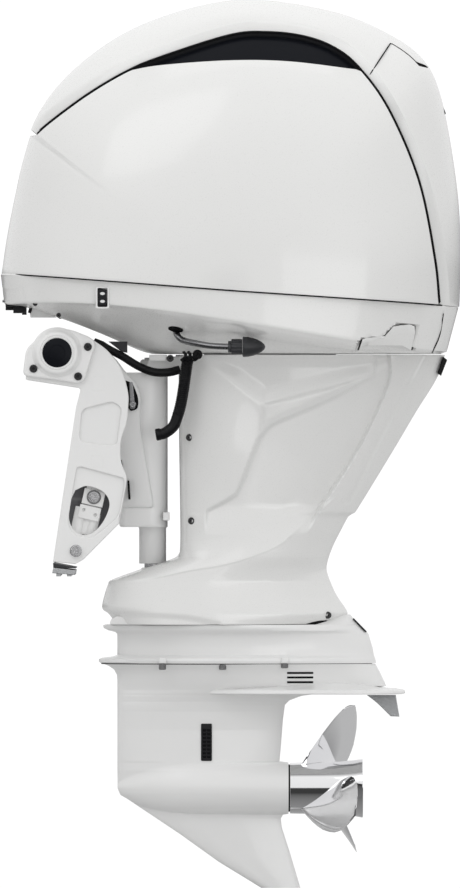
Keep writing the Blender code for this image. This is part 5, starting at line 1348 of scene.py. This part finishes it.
def washer_bolt(name, x, y, z, side, radius, look="steel"):
    """A washer with a hexagon head and a sunk middle."""
    axis = (0, side, 0)
    washer = lathe(name + "_washer", [(0.0, 0.0), (radius, 0.0), (radius, 0.0016), (radius * 0.94, 0.0024),
                                      (0.0, 0.0024)], (x, y, z), axis, "iron")
    ring = lathe(name + "_ring", [(0.0, 0.0), (radius * 0.80, 0.0), (radius * 0.78, 0.0038),
                                  (radius * 0.66, 0.0038), (radius * 0.64, 0.0028), (0.0, 0.0028)],
                 (x, y, z), axis, "steel")
    head = lathe(name + "_head", [(0.0, 0.0), (radius * 0.60, 0.0), (radius * 0.60, 0.0075),
                                  (radius * 0.53, 0.0085), (radius * 0.30, 0.0085),
                                  (radius * 0.28, 0.0065), (0.0, 0.0065)], (x, y, z), axis, look, steps=6,
                 sharp=20)
    return [washer, ring, head]


def make_clamp_contents(side, word):
    """What shows through the clamp bracket's opening, and the end of the tie bolt at its foot."""
    near, far = 0.1270, 0.1480
    y0, y1 = sorted((side * near, side * far))
    turn = math.radians(-13)

    def turned_box(cx, cz, half_x, half_z):
        return [(cx + u * half_x * math.cos(turn) - v * half_z * math.sin(turn),
                 cz + u * half_x * math.sin(turn) + v * half_z * math.cos(turn))
                for u, v in ((-1, -1), (1, -1), (1, 1), (-1, 1))]

    eye = prism("eye", turned_box(0.0880, -0.2500, 0.0235, 0.0170), y0, y1, "casting_paint", 0.002)
    holes = [circle(0.0664, -0.2762, 0.0036, 20), circle(0.0917, -0.2880, 0.0036, 20)]
    tag = prism("tag", turned_box(0.0790, -0.2830, 0.0235, 0.0150), y0, y1,
                "casting_paint", 0.0015, holes)
    joined("pivot_blocks_" + word, [eye, tag], "transom_bracket")
    joined("pivot_bolt_" + word, washer_bolt("pivot", 0.0888, side * far, -0.2484, side, 0.0155),
           "transom_bracket")
    pumps = [swept("pump", [(0.062, side * 0.130, -0.270), (0.046, side * 0.130, -0.345)], 0.0135,
                   "casting_paint"), swept("pump", [(0.092, side * 0.130, -0.285),
                                                    (0.078, side * 0.130, -0.345)], 0.0120,
                                           "casting_paint")]
    joined("relief_valves_" + word, pumps, "transom_bracket")
    # A dark sheet of painted shade behind the bracket's opening, standing in for the shade inside it.
    dark = prism("window_shade", window_outline(1.12), *sorted((side * 0.1255, side * 0.1265)), "iron", 0.0003)
    joined("bracket_window_shade_" + word, [dark], "transom_bracket")
    joined("tie_bolt_" + word, washer_bolt("tie", TILT_FOOT.x, side * (CLAMP_OUTER - CLAMP_STEP + 0.003),
                                           TILT_FOOT.z, side, 0.0172), "transom_bracket")


def make_anode():
    low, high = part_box("transom_anode")
    top = prism("anode_top", [(low.x - 0.002, high.z - 0.006), (low.x - 0.0025, high.z + 0.0040),
                              (high.x + 0.004, high.z - 0.006), (high.x + 0.0035, high.z - 0.0080)],
                low.y - 0.011, high.y + 0.011, "grey_plastic", 0.0008)
    body = prism("anode_body", [(low.x - 0.0045, low.z + 0.003), (low.x - 0.0020, high.z - 0.0065),
                                (high.x + 0.0030, high.z - 0.0120), (high.x + 0.0012, low.z - 0.0010)],
                 low.y - 0.011, high.y + 0.011, "zinc", 0.0015)
    feet = [prism("anode_foot", [(x, low.z - 0.0040), (x, low.z + 0.004), (x + 0.010, low.z + 0.004),
                                 (x + 0.010, low.z - 0.0040)], y, y + 0.03, "zinc", 0.001)
            for x in (0.0065, 0.0300) for y in (low.y - 0.008, high.y - 0.022)]
    joined("transom_zinc", [body, top, *feet], "transom_bracket", "transom_anode")


def make_covers():
    outline = rounded([(-0.0669, 0.0176), (-0.0598, 0.0752), (-0.0345, 0.1005), (-0.0220, 0.1150),
                       (0.0075, 0.1215), (0.0383, 0.1188), (0.0777, 0.1034), (0.0902, 0.0945),
                       (0.0918, 0.0823), (0.0777, 0.0374), (0.0693, 0.0100), (0.0610, 0.0022),
                       (0.0495, 0.0009), (0.0075, 0.0079)], 0.012)
    tilt = (TILT_AXIS.x, TILT_AXIS.z)
    for side, word in SIDES:
        near = CLAMP_OUTER + 0.0004
        base = prism("base", outline, *sorted((side * near, side * (near + 0.0120))), "casting_paint", 0.0040)
        dome = [(0.0, 0.0100), (0.0560, 0.0110), (0.0530, 0.0135), (0.0500, 0.0160), (0.0475, 0.0200),
                (0.0462, 0.0235), (0.0445, 0.0255), (0.0400, 0.0262), (0.0385, 0.0262), (0.0378, 0.0250),
                (0.0372, 0.0250), (0.0366, 0.0266), (0.0350, 0.0272), (0.0335, 0.0268), (0.0328, 0.0255),
                (0.0, 0.0250)]
        boss = lathe("boss", dome, (tilt[0], side * near, tilt[1]), (0, side, 0), "casting_paint",
                     steps=96, sharp=50)
        joined("bracket_cover_skin_" + word, [base, boss], "transom_bracket", "bracket_cover_" + word)
        disc = lathe("disc", [(0.0, 0.0268), (0.0300, 0.0268), (0.0315, 0.0262), (0.0325, 0.0250),
                              (0.0, 0.0250)], (tilt[0], side * (near + 0.0002), tilt[1]), (0, side, 0),
                     "black_gloss", steps=72)
        ring = lathe("disc_ring", [(0.0160, 0.0266), (0.0170, 0.0274), (0.0180, 0.0266)],
                     (tilt[0], side * (near + 0.0002), tilt[1]), (0, side, 0), "black_gloss", steps=48)
        joined("tilt_boss_disc_" + word, [disc, ring], "transom_bracket", "tilt_cap_" + word)
        screws = [disc_at("cover_screw", side_place(x, side * (near + 0.0125), z, side), 0.0088, 0.0035,
                          "screw") for x, z in BRACKET_SCREWS]
        joined("cover_screws_" + word, screws, "transom_bracket")


# ---------------------------------------------------------------- swivel bracket

# Height, hidden front x, visible rear x, outer half width and inner half width of the swivel's side web
WEB_LEVELS = ((0.1000, -0.0100, 0.0250, 0.124, 0.103), (0.0900, -0.0230, 0.0800, 0.124, 0.103),
              (0.0616, -0.0270, 0.1287, 0.124, 0.103), (0.0308, 0.0100, 0.1540, 0.124, 0.103),
              (0.0033, 0.0600, 0.1782, 0.124, 0.103), (-0.0154, 0.0850, 0.1870, 0.123, 0.100),
              (-0.0352, 0.1000, 0.1914, 0.121, 0.090), (-0.0748, 0.1180, 0.1900, 0.114, 0.070),
              (-0.1144, 0.1300, 0.1936, 0.100, 0.060), (-0.1672, 0.1400, 0.2024, 0.080, 0.050),
              (-0.2200, 0.1440, 0.2120, 0.066, 0.040), (-0.2640, 0.1480, 0.2190, 0.058, 0.040),
              (-0.2720, 0.1560, 0.2150, 0.054, 0.040))
COLUMN_LEVELS = ((0.0250, 0.1500, 0.080, 0.044), (-0.0700, 0.1500, 0.080, 0.044),
                 (-0.1300, 0.1620, 0.066, 0.044), (-0.2600, 0.1500, 0.050, 0.040),
                 (-0.2750, 0.1480, 0.049, 0.040), (-0.3080, 0.1440, 0.048, 0.040),
                 (-0.3146, 0.1480, 0.046, 0.036))


def web_half_width(z):
    """Half width outside the web's skin at a height, a little proud."""
    heights, half_widths = [-level[0] for level in WEB_LEVELS], [level[3] for level in WEB_LEVELS]
    return float(np.interp(-z, heights, half_widths)) + 0.0012


def column_ring(z, front, half, rear_corner, rear=0.2500, front_corner=0.014):
    points = []
    for x, sign, corner, start in ((rear - rear_corner, 1, rear_corner, 0),
                                   (front + front_corner, 1, front_corner, 90),
                                   (front + front_corner, -1, front_corner, 180),
                                   (rear - rear_corner, -1, rear_corner, 270)):
        points += arc((x, sign * (half - corner)), corner, start, start + 90, 8)
    return [(x, y, z) for x, y in points]


def make_swivel():
    levels = smooth_line(COLUMN_LEVELS, 3)
    column = loft("column", [column_ring(z, f, w, r) for z, f, w, r in levels], "casting_paint", sharp=45)
    parts = [column]
    for side, _ in SIDES:
        rows = []
        for z, front, rear, outer, inner in smooth_line(WEB_LEVELS, 4):
            corner = 0.004
            ring = [(front, inner), (front, outer - corner), (front + corner, outer),
                    (rear - corner * 2, outer), (rear - corner * 0.6, outer - corner * 0.5),
                    (rear, outer - corner * 1.6), (rear, inner)]
            rows.append([(x, side * y, z) for x, y in ring])
        parts.append(loft("web", rows, "casting_paint", sharp=50))
    tube = lathe("tube", [(0.0, -0.3950), (0.0290, -0.3950), (0.0297, -0.3940), (0.0297, -0.3180),
                          (0.0310, -0.3150), (0.0310, -0.30), (0.0, -0.30)], (STEER_X, 0, 0), (0, 0, 1),
                 "casting_paint", steps=64)
    parts.append(tube)
    joined("swivel_casting", parts, "swivel", "swivel_bracket")
    # Lock and web slots: flat black pieces of painted shade where the slots open.
    slots = []
    for side, _ in SIDES:
        slot = line2([(0.1560, 0.0080), (0.1720, 0.0010), (0.1815, -0.0180), (0.1860, -0.0360),
                      (0.1835, -0.0540), (0.1700, -0.0600)], 4)
        inner = line2([(0.1630, -0.0520), (0.1620, -0.0300), (0.1580, -0.0080)], 4)
        y0, y1 = sorted((side * 0.1190, side * 0.1250))
        slots.append(prism("lock_slot", slot + inner, y0, y1, "recess", 0.0006))
        for x0, z0, x1, z1 in ((0.1450, -0.1640, 0.1530, -0.1880), (0.1620, -0.2120, 0.1690, -0.2540)):
            low_y, high_y = sorted((side * 0.080, side * web_half_width((z0 + z1) / 2)))
            slots.append(prism("web_slot", rounded([(x0, z0), (x0 + 0.004, z0), (x1, z1),
                                                    (x1 - 0.005, z1)], 0.002), low_y, high_y, "recess",
                               0.0006))
    joined("lock_slots", slots, "swivel")
    low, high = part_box("tilt_lock_lever")
    centre = ((low.x + high.x) / 2, (low.z + high.z) / 2)
    lever = prism("lever", rounded([(centre[0] - 0.0040, low.z + 0.001), (centre[0] + 0.0075, low.z + 0.001),
                                    (centre[0] + 0.0020, high.z), (centre[0] - 0.0060, high.z)], 0.004),
                  low.y, high.y, "pipe", 0.0015)
    knob = washer_bolt("knob", centre[0] + 0.002, low.y, low.z + 0.011, -1, 0.0075, "pipe")
    joined("tilt_lock_handle", [lever, *knob], "tilt_lock", "tilt_lock_lever")
    bumper = [block("bumper", (0.2400, -0.0620 if side < 0 else 0.0420, -0.3000),
                    (0.2540, -0.0420 if side < 0 else 0.0620, -0.2820), "casting_paint", 0.002)
              for side, _ in SIDES]
    joined("swivel_stops", bumper, "swivel")


def make_mounts():
    """Upper mount castings between the steering shaft and the drive housing, with their bolts, nuts and tabs,
    and the cable guide.
    """
    parts = []
    for side, _ in SIDES:
        y0, y1 = sorted((side * 0.030, side * 0.076))
        parts.append(prism("mount_arm", rounded([(0.2000, 0.0300), (0.2650, 0.0300), (0.2900, 0.0440),
                                                 (0.2900, 0.0620), (0.2100, 0.0560)], 0.006), y0, y1,
                           "casting_paint", 0.003))
        parts.append(lathe("mount_bolt", [(0.0, 0.0), (0.009, 0.0), (0.009, 0.012), (0.006, 0.013),
                                          (0.0, 0.013)], (0.268, side * 0.060, 0.0560), (1, 0, 0),
                           "steel", steps=6))
    joined("upper_mounts", parts, "motor")
    wedge = prism("cable_guide", [(0.1200, 0.0930), (0.1620, 0.0930), (0.1620, 0.0680), (0.1500, 0.0700)],
                  -0.100, -0.085, "grey_plastic", 0.001)
    nuts = [disc_at("mount_nut", side_place(0.2560, side * 0.1000, 0.0560, side), 0.0080, 0.006, "screw")
            for side, _ in SIDES]
    nuts += [block("mount_tab", (0.2100, side * 0.094 - 0.004, 0.0500),
                   (0.2480, side * 0.094 + 0.004, 0.0640), "casting_paint", 0.002)
             for side, _ in SIDES]
    joined("mount_fasteners", nuts, "motor")
    joined("cable_guide", [wedge], "motor")


# ---------------------------------------------------------------- studio

CAMERA_DISTANCE = 40.0
FRAME_HEIGHT = 1.9536
CAMERA_AIM = Vector((0.3872, 0.0, -0.1320))
SENSOR = 36.0
FLOOR_Z = round(CAD_BOX[0].z - 0.002, 4)


def make_camera():
    data = bpy.data.cameras.new("camera")
    data.sensor_width = SENSOR
    data.lens = SENSOR * CAMERA_DISTANCE / FRAME_HEIGHT
    camera = bpy.data.objects.new("camera", data)
    camera.location = CAMERA_AIM + Vector((0, -CAMERA_DISTANCE, 0))
    camera.rotation_euler = (math.pi / 2, 0, 0)
    data.clip_end = 200.0
    bpy.context.scene.collection.objects.link(camera)
    bpy.context.scene.camera = camera


def area_light(name, place, target, size, power, tint=(1, 1, 1)):
    data = bpy.data.lights.new(name, "AREA")
    data.shape = "RECTANGLE"
    data.size, data.size_y = size
    data.energy = power
    data.color = tint
    light = bpy.data.objects.new(name, data)
    light.location = place
    light.rotation_euler = (Vector(target) - Vector(place)).to_track_quat("-Z", "Y").to_euler()
    bpy.context.scene.collection.objects.link(light)


def make_world():
    """White to the camera, and a soft grey surround, brighter from above, as light."""
    world = bpy.data.worlds.new("studio")
    bpy.context.scene.world = world
    world.use_nodes = True
    nodes, links = world.node_tree.nodes, world.node_tree.links
    back = nodes["Background"]
    sky = nodes.new("ShaderNodeBackground")
    mix = nodes.new("ShaderNodeMixShader")
    path = nodes.new("ShaderNodeLightPath")
    where = nodes.new("ShaderNodeTexCoord")
    split = nodes.new("ShaderNodeSeparateXYZ")
    links.new(where.outputs["Generated"], split.inputs["Vector"])
    tone = span_map(nodes, links, split.outputs["Z"], -1.0, 1.0, 0.42, 0.98)
    mirror = nodes.new("ShaderNodeValToRGB")
    for stop, (place, value) in zip(mirror.color_ramp.elements, ((0.50, 0.05), (0.97, 0.10))):
        stop.position = place
        stop.color = (value, value, value, 1)
    for place, value in ((0.53, 0.95), (0.90, 1.0)):
        mirror.color_ramp.elements.new(place).color = (value, value, value, 1)
    height = span_map(nodes, links, split.outputs["Z"], -1.0, 1.0, 0.0, 1.0)
    links.new(height.outputs["Result"], mirror.inputs["Fac"])
    chosen = nodes.new("ShaderNodeMix")
    links.new(path.outputs["Is Glossy Ray"], chosen.inputs["Factor"])
    links.new(tone.outputs["Result"], chosen.inputs["A"])
    links.new(mirror.outputs["Color"], chosen.inputs["B"])
    links.new(chosen.outputs["Result"], back.inputs["Strength"])
    back.inputs["Color"].default_value = (1, 1, 1, 1)
    sky.inputs["Color"].default_value = (1, 1, 1, 1)
    sky.inputs["Strength"].default_value = 1.05
    links.new(path.outputs["Is Camera Ray"], mix.inputs["Fac"])
    links.new(back.outputs["Background"], mix.inputs[1])
    links.new(sky.outputs["Background"], mix.inputs[2])
    links.new(mix.outputs["Shader"], nodes["World Output"].inputs["Surface"])


def make_floor():
    """Pale floor under the motor, close in tone to the surround."""
    size = 30.0
    floor = mesh_object("floor", [(-size, -size, FLOOR_Z), (size, -size, FLOOR_Z), (size, size, FLOOR_Z),
                                  (-size, size, FLOOR_Z)], [(0, 1, 2, 3)], "paint")
    mat = bpy.data.materials.new("pale_floor")
    mat.use_nodes = True
    nodes, links = mat.node_tree.nodes, mat.node_tree.links
    shader = nodes["Principled BSDF"]
    shader.inputs["Base Color"].default_value = (0.62, 0.62, 0.62, 1)
    shader.inputs["Roughness"].default_value = 0.9
    glow = nodes.new("ShaderNodeEmission")
    glow.inputs["Strength"].default_value = 1.05
    mix = nodes.new("ShaderNodeMixShader")
    path = nodes.new("ShaderNodeLightPath")
    dark = nodes.new("ShaderNodeEmission")
    spot = nodes.new("ShaderNodeNewGeometry")
    parts = nodes.new("ShaderNodeSeparateXYZ")
    links.new(spot.outputs["Position"], parts.inputs["Vector"])
    ahead = span_map(nodes, links, parts.outputs["Y"], -0.6, 0.6, 0.05, 0.55)
    links.new(ahead.outputs["Result"], dark.inputs["Strength"])
    soft = nodes.new("ShaderNodeMixShader")
    links.new(path.outputs["Is Glossy Ray"], soft.inputs["Fac"])
    links.new(shader.outputs["BSDF"], soft.inputs[1])
    links.new(dark.outputs["Emission"], soft.inputs[2])
    links.new(path.outputs["Is Camera Ray"], mix.inputs["Fac"])
    links.new(soft.outputs["Shader"], mix.inputs[1])
    links.new(glow.outputs["Emission"], mix.inputs[2])
    links.new(mix.outputs["Shader"], nodes["Material Output"].inputs["Surface"])
    floor.data.materials.clear()
    floor.data.materials.append(mat)


def make_studio():
    bpy.context.scene.view_settings.view_transform = "Standard"
    make_camera()
    make_world()
    make_floor()
    area_light("key", (-1.6, -4.2, 3.0), (0.4, 0, 0.0), (3.0, 2.2), 26)
    area_light("fill", (2.2, -4.8, -0.3), (0.4, 0, -0.4), (3.0, 1.4), 26)
    area_light("top", (0.4, -0.6, 3.6), (0.4, 0, 0.4), (2.6, 2.0), 16)


# ---------------------------------------------------------------- finishes of the CAD nodes that stay shown

NODE_LOOKS = {
    "casting_paint": ("steering_actuator_housing", "swivel_bracket", "steering_arm", "lower_mount_yoke",
                      "trim_cylinder_port", "trim_cylinder_starboard", "tilt_cylinder"),
    "steel": ("steering_shaft", "tilt_tube", "tilt_rod", "lower_tie_bolt", "trim_ram_port",
              "trim_ram_starboard", "propeller_shaft", "propeller_nut", "forward_gear", "reverse_gear",
              "dog_clutch", "drive_shaft", "pinion_gear", "crankshaft"),
    "iron": ("crankcase", "cylinder_bank_port", "cylinder_bank_starboard", "starter_motor", "flywheel"),
    "alloy": ("drive_housing", "bearing_carrier"),
    "rubber": ("pump_impeller", "cowl_seal"),
    "black": ("intake_manifold", "water_pump_housing"),
    "zinc": ("transom_anode",),
    "grey_plastic": ("tilt_lock_lever",),
}


def dress_cad_nodes():
    by_node = {node: look for look, nodes in NODE_LOOKS.items() for node in nodes}
    for name, node in frame["nodes"].items():
        node.data.materials.clear()
        node.data.materials.append(LOOKS[by_node.get(name, "casting_paint")])


def build():
    dress_cad_nodes()
    make_side_shell()
    make_crown()
    make_rear_cap()
    make_rear_fittings()
    make_window()
    make_pan()
    make_latches()
    make_rocker()
    make_pan_fittings()
    make_flush()
    make_hose()
    make_harness()
    make_aprons()
    make_casing()
    make_gearcase()
    make_grilles()
    make_propeller()
    make_tab()
    make_clamps()
    make_anode()
    make_covers()
    make_swivel()
    make_mounts()
    make_studio()


build()
bpy.context.view_layer.update()
